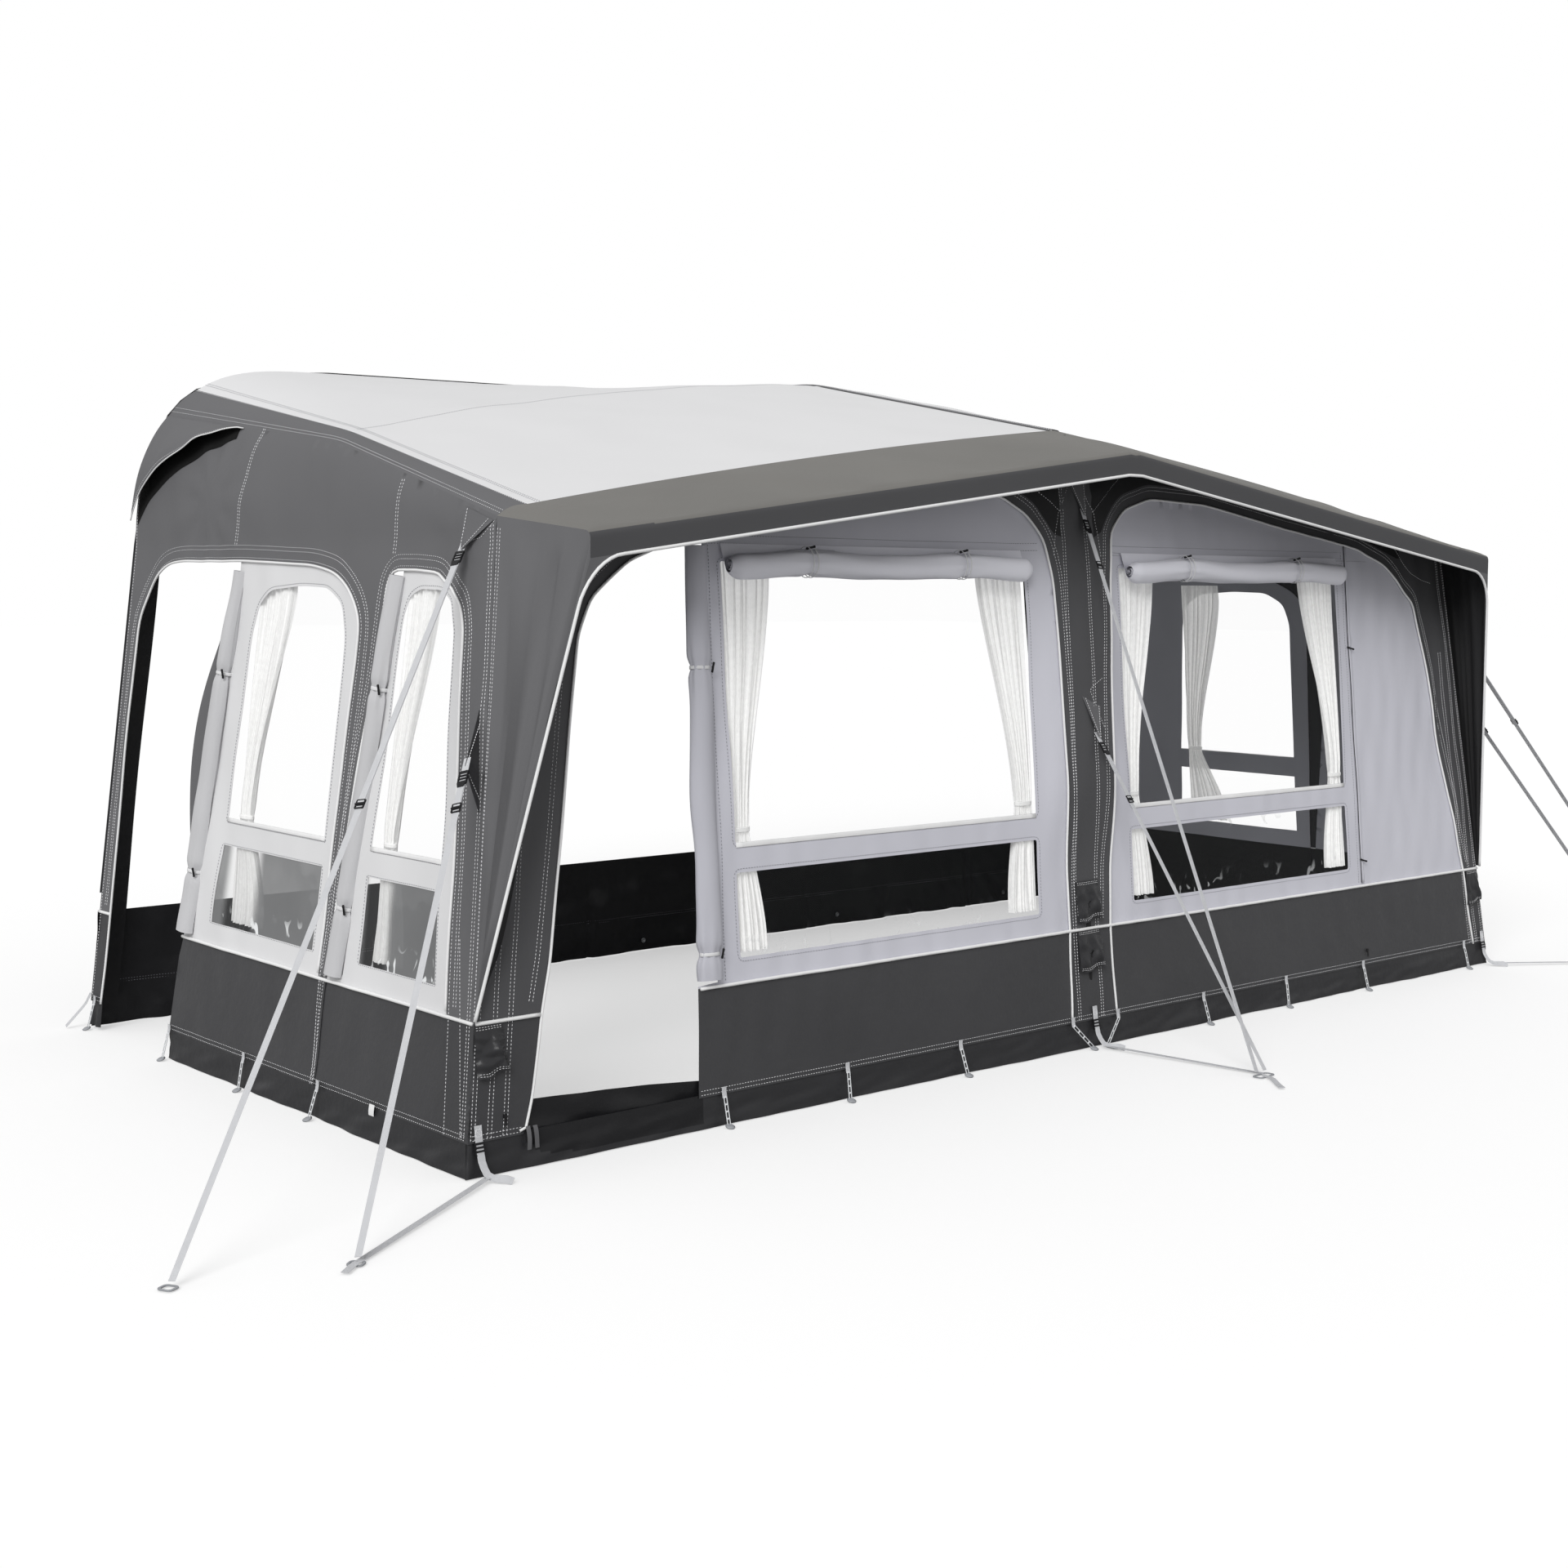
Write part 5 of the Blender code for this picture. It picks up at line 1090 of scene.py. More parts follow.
wingCloth = wingGrid()
webStart = np.array([-2.262, -hood["reach"], hood["ridge"] - (hood["ridge"] - hood["end"]) * 2.262 / 2.36
                     - hood["drop"]])
webCorner = mirrored(hoodCloth[-1, -1])
webEnd = mirrored(wingCloth[4, -1])
t = np.linspace(0, 1, 12)[:, None]
webCurve = webStart * (1 - t) ** 2 + (webCorner + (0.012, 0, -0.012)) * 2 * t * (1 - t) + webEnd * t ** 2
for side, sign in (("Left", -1), ("Right", 1)):
    gridCloth("wing" + side, wingCloth * (sign, 1, 1), ["wall", "liningAndShade"], inside=(0, 0.5, 1.0),
              stands=("hood_wing_" + side.lower(),))
    flip = (-sign, 1, 1)  # the web is drawn on the left
    web = np.vstack([[webCorner], webCurve, [mirrored(wingCloth[2, -1])]]) * flip
    webFaces = facingOut(web, np.array([[0, k, k + 1] for k in range(1, len(webCurve) + 1)]),
                         np.array([0, 0.5, 1.4]))
    made = newPiece("wingWeb" + side, web, webFaces, ["wall", "liningAndShade"], uv=web[:, [0, 2]], thick=awning["cloth"])
    declareSheet(web, webFaces, (0.11, 0.05), ("wing" + side,))
hoodLine = hoodEdge[np.abs(hoodEdge[:, 0]) < 2.255]
wingEdge = mirrored(wingCloth[5:, -1])
hoodPipe = np.concatenate([wingEdge[::-1], webCurve[::-1], hoodLine, mirrored(webCurve), mirrored(wingEdge)])
pipe("pipingHood", hoodPipe - (0, 0.0005, 0.002), up=(0, 1, 0.01), radius=0.0052)
for sign in (-1, 1):
    seam = wingCloth[1:, 0] * (sign, 1, 1)
    spots = wingCloth[1:, 1] * (sign, 1, 1)
    for share in (0.2, 0.6):
        line = seam * (1 - share) + spots * share
        sewFree("stitchWing", line + (sign * 0.001, 0, 0), (sign, -0.4, 0))
print("wings made")


# Piping and stitches of the front

bandEnd = sideX(.434) - 0.004
frontPiping = {"lift": 0.0035, "arch": 0.0042, "band": 0.0058}


def frontPipe(path, radius=frontPiping["arch"]):
    points, _ = lineOn(frontCloth, resampled(path, 0.02), frontPiping["lift"])
    pipe("pipingFront", points, (0, 1, 0.01), radius)


def crossBand(surface, ends, deep, up):  # the flat band between the two windows of a panel
    points, _ = lineOn(surface, resampled(ends, 0.03), layer["cross"])
    pipes.setdefault("pipingCross", []).append(swept(points, disc(0.0014, 8, deep), up=up))


frontPipe(np.concatenate([[(-.125, .112)], leftBay[:-1], [(-2.515, .112)]]))
frontPipe(np.concatenate([[(.125, .112)], rightBay, [(2.584, .10)]]))
frontPipe([(-1.828, bandTop), (bandEnd, bandTop)], frontPiping["band"])
frontPipe([(-bandEnd, bandTop), (-2.424, bandTop)], frontPiping["band"])
hemRise = awning["hem"] + 0.014
seamFoot = 0.105
# each seam: its path and how many rows of stitches it has
frontSeams = [(beside(bay[bay[:, 1] > 0.45], sign * 0.042), 2) for sign, bay in ((-1, leftBay), (1, rightBay))]
frontSeams += [([(-1.848, hemRise), (sideX(hemRise) - 0.01, hemRise)], 2),
               ([(-sideX(hemRise) + 0.01, hemRise), (-2.505, hemRise)], 2)]
for sign in (-1, 1):
    frontSeams += [([(sign * (sideX(seamFoot) - inset), seamFoot), (sign * (sideX(high) - inset), high)], 2)
                   for inset, high in ((0.014, 1.84), (0.070, 1.80), (0.122, 1.4))]
    frontSeams.append(([(sign * 2.05, 1.90), (sign * 2.22, 1.74), (sign * 2.36, 1.70)], 1))
frontSeams += [([(x, seamFoot), (x, 2.10)], 2) for x in (-0.078, 0.048)]
for x in (-1, 1):  # crossed patch seams at the top of the middle post
    frontSeams += [([(x * 0.34, 2.11), (x * 0.20, 2.02), (x * 0.085, 1.94)], 1),
                   ([(-x * 0.03, 2.13), (x * 0.10, 1.93), (x * 0.13, 1.78)], 1)]
frontSeams.append(([(0.10, 1.16), (0.02, 1.30), (0.10, 1.34)], 1))
for path, rows in frontSeams:
    sew("stitchFront", frontCloth, path, rows=rows)
for sign in (-1, 1):
    for hole in frontHoles:
        loop = np.vstack([hole, hole[:1]]) * (sign, 1)
        sew("stitchPanels", frontCloth, beside(loop, -sign * 0.012), layer["panelStitch"], rows=1)
    for v in (1.80, 1.825):
        sew("stitchPanels", frontCloth, [(sign * 0.20, v), (sign * 1.71, v)], layer["panelStitch"], rows=1)
    crossBand(frontCloth, [(sign * 0.262, 0.861), (sign * 1.653, 0.861)], 0.0085, (0, 0.09, 1))
for path in ([(0.115, 1.79), (1.9, 1.79)], [(1.705, 1.85), (1.727, .445)], [(-1.700, 1.82), (-1.722, .445)]):
    sew("stitchPanels", frontCloth, path, layer["panelStitch"], rows=1)

# Piping and stitches of the sides

for sign in (-1, 1):
    surface = sideCloth(sign)

    def sidePipe(path, radius=frontPiping["arch"]):
        points, _ = lineOn(surface, resampled(path, 0.02), frontPiping["lift"])
        pipe("pipingSides", points, (sign, 0, 0.01), radius)

    sidePipe(rearArch[(rearArch[:, 1] > 0.44) | (rearArch[:, 0] > 2.0)])
    sidePipe(frontArch[frontArch[:, 1] > 0.44])
    sidePipe([(.0445, bandTop), (1.90 if sign < 0 else 2.505, bandTop)], frontPiping["band"])
    sidePipe([(2.507, bandTop), (2.597, bandTop)], frontPiping["band"])
    sideSeams = []
    for arch, apart in ((rearArch, 0.047), (frontArch, 0.040)):
        sideSeams += [(beside(arch[arch[:, 1] > 0.45], apart), 2), (beside(arch, 0.012), 1)]
    sideSeams += [
        ([(0.0397, 0.11), (0.20, 1.84)], 2), ([(0.052, 0.11), (0.145, 0.60), (0.155, 0.66)], 1),
        ([(.913, 0.115), (.913, .43)], 2), ([(2.588, 0.11), (2.588, 2.2)], 1),
        ([(0.03, hemRise), (1.92 if sign < 0 else 2.5, hemRise)], 2), ([(2.51, hemRise), (2.59, hemRise)], 2),
        ([(1.777, 1.789), (1.755, 2.0), (1.738, 2.19)], 2), ([(.732, 1.755), (.726, 1.88), (.723, 1.985)], 2),
        ([(0.35, 1.787), (0.25, 1.80), (0.19, 1.85)], 1)]
    for path, rows in sideSeams:
        sew("stitchSides", surface, path, rows=rows)
    for key, holes in sideHoles.items():
        for loop in holes:
            loop = np.vstack([loop, loop[:1]])
            centre = loop.mean(axis=0)
            sew("stitchSidePanels", surface, centre + (loop - centre) * 1.03, layer["panelStitch"], rows=1)
        crossBand(surface, [(end, .861) for end in sideWindows[key]["span"]], 0.0075, (0.12, 0, 1))

# Stitches of the roof

for sign in (-1, 1):
    for u, lift in ((0.985, 0.0012), (0.9805, 0.0012)):
        line = roofAt(u, roofT, sign, lift)
        sewFree("stitchRoof", line, (0, 0, 1))
    crest = roofAt(np.linspace(0.01, 0.99, 80), 0.995, sign, 0.0012)
    sewFree("stitchRoof", crest, (0, 0, 1))
    edge = borderStrip(sign)[:, 0] * 0.7 + borderStrip(sign)[:, 1] * 0.3
    sewFree("stitchBorder", edge + (sign * 0.001, 0, 0.001), (0.4 * sign, 0, 1))
    for k in (6, 7):
        edge = borderStrip(sign)[:, k]
        sewFree("stitchBorder", edge + (sign * 0.0012, 0, 0.001), (sign, 0, 0.5))
for u in (-0.0095, 0.0095):
    line = roofAt(abs(u), roofT, 1 if u > 0 else -1, 0.0048)
    sewFree("stitchBorder", line, (0, 0, 1))
print("piping and stitches placed")


# Rolled doors and blinds: each is a wound sheet, drawn in at its ties

roll = {"turns": 3, "perTurn": 24, "pinch": 0.24, "inner": 0.14}
rolls = [
    {"name": "doorRollRear", "node": "door_roll_left_rear", "foot": (1.864, .456), "top": (1.735, 1.70),
     "wide": 0.043, "deep": 0.036, "look": "sideFoldShade", "ties": (0.17, 0.72), "where": "side",
     "seed": 51, "tip": 0.70},
    {"name": "doorRollFront", "node": "door_roll_left_front", "foot": (0.832, .456), "top": (0.695, 1.69),
     "wide": 0.040, "deep": 0.032, "look": "sideFoldShade", "ties": (0.17, 0.72), "where": "side",
     "seed": 52, "tip": 0.82},
    {"name": "bayRoll", "node": "door_roll_front", "foot": (-1.787, .456), "top": (-1.752, 1.79), "wide": 0.046,
     "deep": 0.026, "look": "panelFoldShade", "ties": (0.06, 0.72), "where": "front", "seed": 53, "tip": 0.9}]


def rollGrid(foot, top, out, wide, deep, ties, seed, count=110, pinch=None, tip=1.0, sag=0.0, shut=1.0):
    # rows along the roll, columns round it; the radius shrinks from turn to turn
    t = np.linspace(0, 1, count)[:, None]
    turn = np.linspace(0, math.tau * roll["turns"], roll["turns"] * roll["perTurn"] + 1)[None]
    axis = unit(np.asarray(top, float) - foot)
    out = unit(np.asarray(out, float) - axis * np.dot(out, axis))
    side = np.cross(axis, out)
    shrink = 1 - (1 - roll["inner"]) * np.clip(turn - 0.75 * math.tau, 0, None) / (turn.max() - 0.75 * math.tau)
    draw = sum(hump(t, tie, 0.016) for tie in ties)
    near = sum(hump(t, tie, 0.06) for tie in ties)
    size = shrink * (1 - (pinch or roll["pinch"]) * draw) * (1 - (1 - tip) * fade(t, 0.55, 1))
    size = size * (shut + (1 - shut) * np.sqrt(fade(t, -0.004, 0.03) * fade(1 - t, -0.004, 0.03)))
    creased = (0.96 + near * 0.10 * np.sin(7 * turn + seed) + 0.05 * ripple(turn * 0.35, t * 6, seed, 1.6)
               + 0.12 * (np.abs(np.sin(turn * 1.5 + 1.1 * np.sin(t * 3.1 + seed))) - 0.6) * (1 - draw))
    sway = triple(0.003 * ripple(t, 0 * t, seed + 1, 0.5), 0.002 * ripple(t, 0 * t, seed + 2, 0.6), 0 * t)
    # lowest midway between the ties
    hang = sag * (1 - np.cos((t - ties[0]) / (ties[-1] - ties[0]) * math.tau)) / 2
    centre = np.asarray(foot, float) + (np.asarray(top, float) - foot) * t[..., None] + sway - triple(0, 0, hang)
    around = (side * (np.cos(turn) * size * creased * wide)[..., None]
              + out * (np.sin(turn) * size * creased * deep)[..., None])
    return centre + around, axis, out, side


def tieLoop(centre, side, out, wide, deep, axis, height=0.006, thick=0.0012):
    turn = np.linspace(0, math.tau, 28, endpoint=False)
    path = centre + side * (np.cos(turn) * wide)[:, None] + out * (np.sin(turn) * deep)[:, None]
    return swept(path, disc(thick, 8, height), up=axis, closed=True)


def capsule(centre, axis, length, radius, sides=10):
    share = np.array([-1, -0.97, -0.85, -0.3, 0.3, 0.85, 0.97, 1])
    size = np.array([0.25, 0.7, 1, 0.82, 0.82, 1, 0.7, 0.25])
    path = np.asarray(centre, float) + np.asarray(axis, float) * (share * length / 2)[:, None]
    up = (0, 0, 1) if abs(axis[2]) < 0.9 else (1, 0, 0)
    return swept(path, disc(radius, sides), up, size=size)


ties, toggles = [], []
for item in rolls:
    if item["where"] == "side":
        foot, top = (sideAt(*item[end], 0.001) for end in ("foot", "top"))
        out = np.array([-1, 0, awning["sideLean"]])
    else:
        foot, top = (frontAt(*item[end], 0.004) for end in ("foot", "top"))
        out = frontOut
    grid, axis, out, side = rollGrid(foot, top, out, item["wide"], item["deep"], item["ties"], item["seed"],
                                     tip=item["tip"])
    gridCloth(item["name"], grid, [item["look"]], inside=(foot + top) / 2, stands=(item["node"],), thick=0.0,
              rests=("wallFrameLeft" if item["where"] == "side" else "frontFrame",))
    for tie in item["ties"]:
        centre = foot + (top - foot) * tie
        tight = 1.02 * (1 - roll["pinch"])
        ties.append(tieLoop(centre, side, out, item["wide"] * tight + 0.001, item["deep"] * tight + 0.001, axis))
        spot = centre + side * item["wide"] * 0.8 + out * item["deep"] * 0.75
        toggles.append(capsule(spot, unit(axis * 0.9 + out * 0.3), 0.034, 0.0042))
# the door's dark band hangs out behind the rear roll, from its foot to its top
rollTail = {"low": 0.47, "high": 1.70, "topY": 1.735, "rows": 60, "columns": 9}
z = np.linspace(rollTail["low"], rollTail["high"], rollTail["rows"])[:, None]
k = np.linspace(0, 1, rollTail["columns"])[None]
rollY = rollTail["topY"] + 0.129 * (rollTail["high"] - z) / 1.244
reachOut = 0.015 + 0.135 * k * fade(z, 0.44, 1.05) * (1 - fade(z, 1.05, 1.78)) + 0.006 * np.sin(z * 11) * k
tailGrid = sideAt(rollY + reachOut, z + 0 * k, -0.004 + 0.014 * np.sin(k * 3 + z * 4), -1)
gridCloth("rollTail", tailGrid, ["wall", "wallInside"], rests=("doorRollRear",))
gatheredPiece("rollTies", ties, "side", True)
gatheredPiece("rollToggles", toggles, "black")

blind = {"height": 1.742, "out": 0.0423, "hinge": 1.80, "span": (0.275, 1.655), "ties": (0.24, 0.75),
         "wide": 0.0530, "deep": 0.0435, "seed": 55, "rows": 130, "pinch": 0.16, "sag": 0.012, "shut": 0.4}
for side, sign in bothSides:
    a = frontAt(sign * blind["span"][0], blind["height"], blind["out"])
    b = frontAt(sign * blind["span"][1], blind["height"], blind["out"])
    foot, top = (a, b) if sign > 0 else (b, a)
    grid, axis, out, across = rollGrid(foot, top, frontOut, blind["wide"], blind["deep"], blind["ties"],
                                       blind["seed"], blind["rows"], blind["pinch"],
                                       sag=blind["sag"], shut=blind["shut"])
    turnStart = int(roll["perTurn"] * 0.75)
    wound = grid[:, turnStart:]
    hingeLine = frontAt(np.linspace(foot[0], top[0], len(grid)), blind["hinge"], 0.0045)
    lead = [hingeLine * (1 - k) + wound[:, 0] * k for k in (0, 0.33, 0.66)]
    sheetGrid = np.concatenate([np.stack(lead, axis=1), wound], axis=1)
    # the blind takes the lighter copy of the panel cloth: painted light
    gridCloth("blindRoll" + side.title(), sheetGrid, ["blind"], body="blind_roll_" + side, inside=(foot + top) / 2,
              stands=("blind_roll_" + side,), thick=0.0, rests=("frontPanel" + side.title(),))
    cords, knobs = [], []
    for share in blind["ties"]:
        for step in (-0.010, 0.010):
            centre = foot + (top - foot) * share + axis * step
            cords.append(tieLoop(centre, across, out, 0.0500, 0.0415, axis, 0.0022, 0.0013))
        spot = foot + (top - foot) * share + (0, -0.012, 0.046)
        knobs.append(capsule(spot, unit(np.array([1, -0.3, 0.25])), 0.034, 0.0046))
    gatheredPiece("blindTies" + side.title(), cords, "side", True, body="blind_roll_" + side)
    gatheredPiece("blindToggles" + side.title(), knobs, "black", body="blind_roll_" + side)
print("rolled doors and blinds made")


# Curtains

curtain = {"columns": 78, "rows": 50, "tie": 0.70, "folds": 7, "top": 0.21, "waist": 0.075, "foot": 0.125}


def hangCurtain(name, node, where, sign, jambHigh, seed):
    low, high = (np.array(corner) - (0, awning["moveY"], 0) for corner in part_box(node))
    k = 0 if where == "front" else 1
    wide = high[k] - low[k]
    t = np.linspace(0, 1, curtain["rows"])[:, None]
    p = np.linspace(0, 1, curtain["columns"])[None]
    waist = curtain["waist"] / curtain["top"] * wide
    foot = curtain["foot"] / curtain["top"] * wide if where == "front" else wide
    width = np.where(t < curtain["tie"], wide + (waist - wide) * fade(t, 0.05, curtain["tie"]) ** 0.8,
                     waist + (foot - waist) * fade(t, curtain["tie"], 0.98) ** 0.7)
    header = 1 - fade(t, 0, 0.06)
    bend = p + 0.03 * np.sin(p * 17 + seed) + 0.02 * np.sin(p * 31 + seed * 2 + t * 3)
    fold = np.sin(math.tau * curtain["folds"] * bend + 1.5 * np.sin(3 * t + seed))
    fine = np.sin(math.tau * 17 * bend + seed)
    gather = 0.0115 * fold * (1 - 0.45 * header) * (1 - 0.35 * hump(t, curtain["tie"], 0.03))
    depth = 0.0230 + gather + 0.0022 * fine
    shift = width * p + 0.002 * np.sin(9 * t + seed) * p
    z = high[2] - 0.002 - (high[2] - low[2] - 0.004) * t + 0 * p
    along = high[k] - 0.002 - shift * 0.98 if jambHigh else low[k] + 0.002 + shift * 0.98
    if where == "front":
        grid = triple(along, awning["frontLean"] * z + depth, z)
    else:
        grid = triple(sign * (sideX(z) - depth), along, z)
    gridCloth(name, grid, ["curtain"], body=node, stands=(node,), thick=0.0,
              rests=("frontFrame" if where == "front" else "wallFrameLeft",))
    row = int(curtain["tie"] * (curtain["rows"] - 1))
    centre = grid[row].mean(axis=0)
    half = (grid[row, :, k].max() - grid[row, :, k].min()) / 2 + 0.002
    sideways, inward = np.eye(3)[[0, 1] if where == "front" else [1, 0]]
    band = tieLoop(centre, sideways, inward, half, 0.0145, np.array([0, 0, 1]), 0.008, 0.0012)
    gatheredPiece(name + "Tie", [band], "curtain", True, body=node)


for side, sign in bothSides:
    for part in ("post", "door"):
        jambHigh = (part == "post") == (sign < 0)
        hangCurtain("curtain" + side.title() + part.title(), "curtain_front_%s_%s" % (side, part), "front",
                    sign, jambHigh, 60 + 3 * (sign > 0) + (part == "door"))
    for part in ("rear", "front"):
        hangCurtain("curtain" + side.title() + "Side" + part.title(), "curtain_%s_%s" % (side, part), "side",
                    sign, True, 70 + 3 * (sign > 0) + (part == "rear"))
print("curtains hung")


# Air tubes in their dark sleeves, with valves, caps and flaps

tube = {"radius": 0.045, "side": ((2.626, 0.058, 0.003), (2.626, 0.058, 0.11), (2.403, 0.228, 1.811),
                                  (2.331, 1.17, 2.026), (2.19, 2.565, 2.25)),
        "centre": ((0, 0.058, 0.003), (0, 0.058, 0.11), (0, 0.262, 2.153), (0, 1.574, 2.40), (0, 2.565, 2.419))}


def airTube(name, node, route):
    path = resampled(rounded(route, 0.30, 0.02), 0.03)
    run = runLength(path)
    size = 1 - 0.10 * hump(run % 0.42, 0.21, 0.012) + 0.01 * np.sin(run * 9)
    ends = np.clip(np.minimum(run, run[-1] - run) / 0.02, 0.25, 1) ** 0.5
    up = (1, 0, 0.001) if name == "airTubeCentre" else (0, 1, 0.001)
    points, faces, uv = swept(path, disc(tube["radius"], 24), up, size=size * ends)
    made = newPiece(name, points, faces, "tube", uv=uv, stands=(node,))


for side, sign in (("Left", -1), ("Right", 1)):
    airTube("airTube" + side, "air_pole_" + side.lower(), np.array(tube["side"]) * (sign, 1, 1))
airTube("airTubeCentre", "air_pole_centre", np.array(tube["centre"]))

valves = {"left": (-2.5975, 0.34, 0.054), "right": (2.5975, 0.34, 0.054), "centre_lower": (0, 0.34, 0.072),
          "centre_upper": (0, 0.52, 0.072)}


def turned(profile, place, out, up, sides=28, ribs=0):
    # a lathe: profile rows are (radius, distance out); ribs roughen the rim
    profile = np.asarray(profile, float)
    turn = np.linspace(0, math.tau, sides, endpoint=False)
    out = unit(np.asarray(out, float))
    right = unit(np.cross(np.asarray(up, float), out))
    upward = np.cross(out, right)
    grip = 1 + (0.05 * np.sign(np.sin(turn * ribs)) if ribs else 0)
    radius = profile[:, :1] * np.where(profile[:, :1] > profile[:, 0].max() * 0.9, grip, 1)
    points = np.asarray(place, float) + right * (radius * np.cos(turn))[..., None]
    points = points + upward * (radius * np.sin(turn))[..., None] + out * profile[:, 1][:, None, None]
    faces = gridFaces(len(profile), sides, closeColumns=True)
    ends = [list(range(sides))[::-1], list(range((len(profile) - 1) * sides, len(profile) * sides))]
    return points.reshape(-1, 3), [faces, ends], np.zeros((points.reshape(-1, 3).shape[0], 2))


flapCut = {"above": 0.088, "below": 0.067, "rows": 24, "columns": 25, "cloth": 0.0012, "seamRows": (1, 2, 21, 22)}
for key, (x, v, half) in valves.items():
    base = frontAt(x, v, 0)
    body = turned([(0.004, -0.004), (0.018, -0.004), (0.019, -0.002), (0.019, 0.0004), (0.0165, 0.0012),
                   (0.0165, 0.0016), (0.004, 0.0016)], base, frontOut, (0, 0, 1))
    gatheredPiece("valveSeat_" + key, [body], "black")
    cap = turned([(0.003, 0.0023), (0.0150, 0.0023), (0.0158, 0.0032), (0.0158, 0.0100), (0.0148, 0.0118),
                  (0.0105, 0.0126), (0.0100, 0.0112), (0.003, 0.0108)],
                 base, frontOut, (0, 0, 1), sides=48, ribs=12)
    gatheredPiece("valveCap_" + key, [cap], "black", body="valve_cap_" + key, stands=("valve_cap_" + key,))
    p = np.linspace(-1, 1, flapCut["columns"])[None]
    t = np.linspace(0, 1, flapCut["rows"])[:, None]
    low = v - flapCut["below"] + 0.013 * (p + 1) + 0.004 * np.sin(p * 5)
    z = v + flapCut["above"] - (v + flapCut["above"] - low) * t
    bulge = 0.0045 + 0.0145 * np.sin(np.pi * 0.62 * t) * (1 - 0.8 * p ** 4)
    ridge = 0.013 * fade(t, 0.02, 0.6) * hump(p, 0.05 + 0.6 * t, 0.26)  # one fold runs down to the right corner
    crush = 0.006 * (np.abs(ripple(p * 0.05, t * 0.15, 80 + len(key), 0.085, 5)) - 0.5) * fade(t, 0.05, 0.3)
    wideness = half * np.where(p > 0, 0.78 + 0.22 * t, 0.96)
    grid = frontCloth(x + wideness * p, z, np.clip(bulge + ridge + crush, 0.003, 0.034))
    gridCloth("valveFlap_" + key, grid, ["flap", "bandInside"], body="valve_flap_" + key, inside=(x, 1, v),
              stands=("valve_flap_" + key,), thick=flapCut["cloth"], rests=("frontFrame",))
    for row in flapCut["seamRows"]:
        line = grid[row, 1:-1] - (0, 0.0006, 0)
        points, faces = threads(line, (0, -1, 0), 0.009)
        newPiece("valveFlapStitch%d_%s" % (row, key), points, faces, "thread", body="valve_flap_" + key)
print("air tubes and valves made")

# Vents: dark net on the wall under a flap that stands off it; below the flap's edge the net also stands for the
# shade under it

vent = {"edge": [(1.905, 2.196), (2.10, 2.154), (2.36, 2.062), (2.50, 1.985), (2.597, 1.885)], "stand": 0.052}
for side, sign in (("Left", -1), ("Right", 1)):
    surface = sideCloth(sign)
    edge = resampled(rounded(vent["edge"], 0.10, 0.02), count=44)
    topY = np.linspace(1.915, 2.596, 44)
    top = np.stack([topY, borderAt(topY)[1] - 0.004], axis=1)
    t = np.linspace(0, 1, 22)[:, None, None]
    flat = top[None] * (1 - t) + edge[None] * t
    along = np.linspace(0, 1, 44)[None]
    s = t[..., 0]
    swell = np.sin(np.pi * np.clip(along, 0, 1) ** 0.8 * 0.92) ** 0.7
    out = 0.003 + vent["stand"] * swell * np.sin(s * np.pi / 2) ** 1.2
    out = out + 0.0025 * ripple(along * 0.6, s * 0.3, 91, 0.25) * s
    grid = surface(flat[..., 0], flat[..., 1], out)
    gridCloth("ventFlap" + side, grid, ["wall", "wallInside"], stands=("vent_hood_" + side.lower(),),
              rests=("wallFrame" + side,))
    rim = grid[-1]
    pipe("pipingVent", rim, (sign, 0, 0.01), 0.0022)
    sewFree("stitchSides", grid[-3] + (sign * 0.0012, 0, 0), (sign, 0, 0.1))
    # the net reaches 30 mm below the flap's edge: partly net, partly painted shade under the flap
    under = edge.copy()
    under[:, 1] -= 0.030
    net = np.vstack([under[1:-1], top[::-1][1:-1]])
    clothOn("ventNetAndShade" + side, surface, net, [], ["mesh"], 0.0012, thick=0.0, rests=("wallFrame" + side,))
print("vents made")


# Mud flap, doorway sill and rear skirt

mud = {"top": 0.106, "rows": 13, "step": 0.016, "end": 1.935}


def mudFlap():
    corners = [(-awning["halfWidth"], mud["end"]), (-awning["halfWidth"], 0.0), (awning["halfWidth"], 0.0),
               (awning["halfWidth"], awning["depth"])]
    legs = [resampled([a, b], mud["step"]) for a, b in zip(corners, corners[1:])]
    ground = np.concatenate([legs[0][:-1], legs[1][:-1], legs[2]])
    outward = np.concatenate([np.tile((-1.0, 0), (len(legs[0]) - 1, 1)), np.tile((0, -1.0), (len(legs[1]) - 1, 1)),
                              np.tile((1.0, 0), (len(legs[2]), 1))])
    run = runLength(ground)[None]
    t = np.linspace(0, 1, mud["rows"])[:, None]
    z = mud["top"] * (1 - t) + 0.0015 + 0 * run
    lean = np.where(outward[:, 0] != 0, awning["sideLean"], awning["frontLean"])[None]
    inwards = lean * z
    folds = (0.0048 * ripple(run + 0.20 * t, t * 0.10, 95, 0.60)
             + 0.0016 * ripple(run + 0.12 * t, t * 0.2, 96, 0.16))
    out = -0.0035 + (folds - 0.002) * fade(t, 0.10, 0.6)
    bends = runLength(ground)[[len(legs[0]) - 1, len(legs[0]) + len(legs[1]) - 2]]
    turn = np.abs(run - bends[:, None]).min(axis=0, keepdims=True)  # how far the nearer corner is
    out = out * fade(turn, 0, 0.05) - 0.004 * (1 - fade(turn, 0, 0.05))
    move = out - inwards
    xy = ground[None] + outward[None] * move[..., None]
    near = 1 - fade(turn, 0, 0.001)
    xy[..., 0] -= near * np.sign(xy[..., 0]) * awning["sideLean"] * z
    xy[..., 1] += near * awning["frontLean"] * z
    return triple(xy[..., 0], xy[..., 1], z)


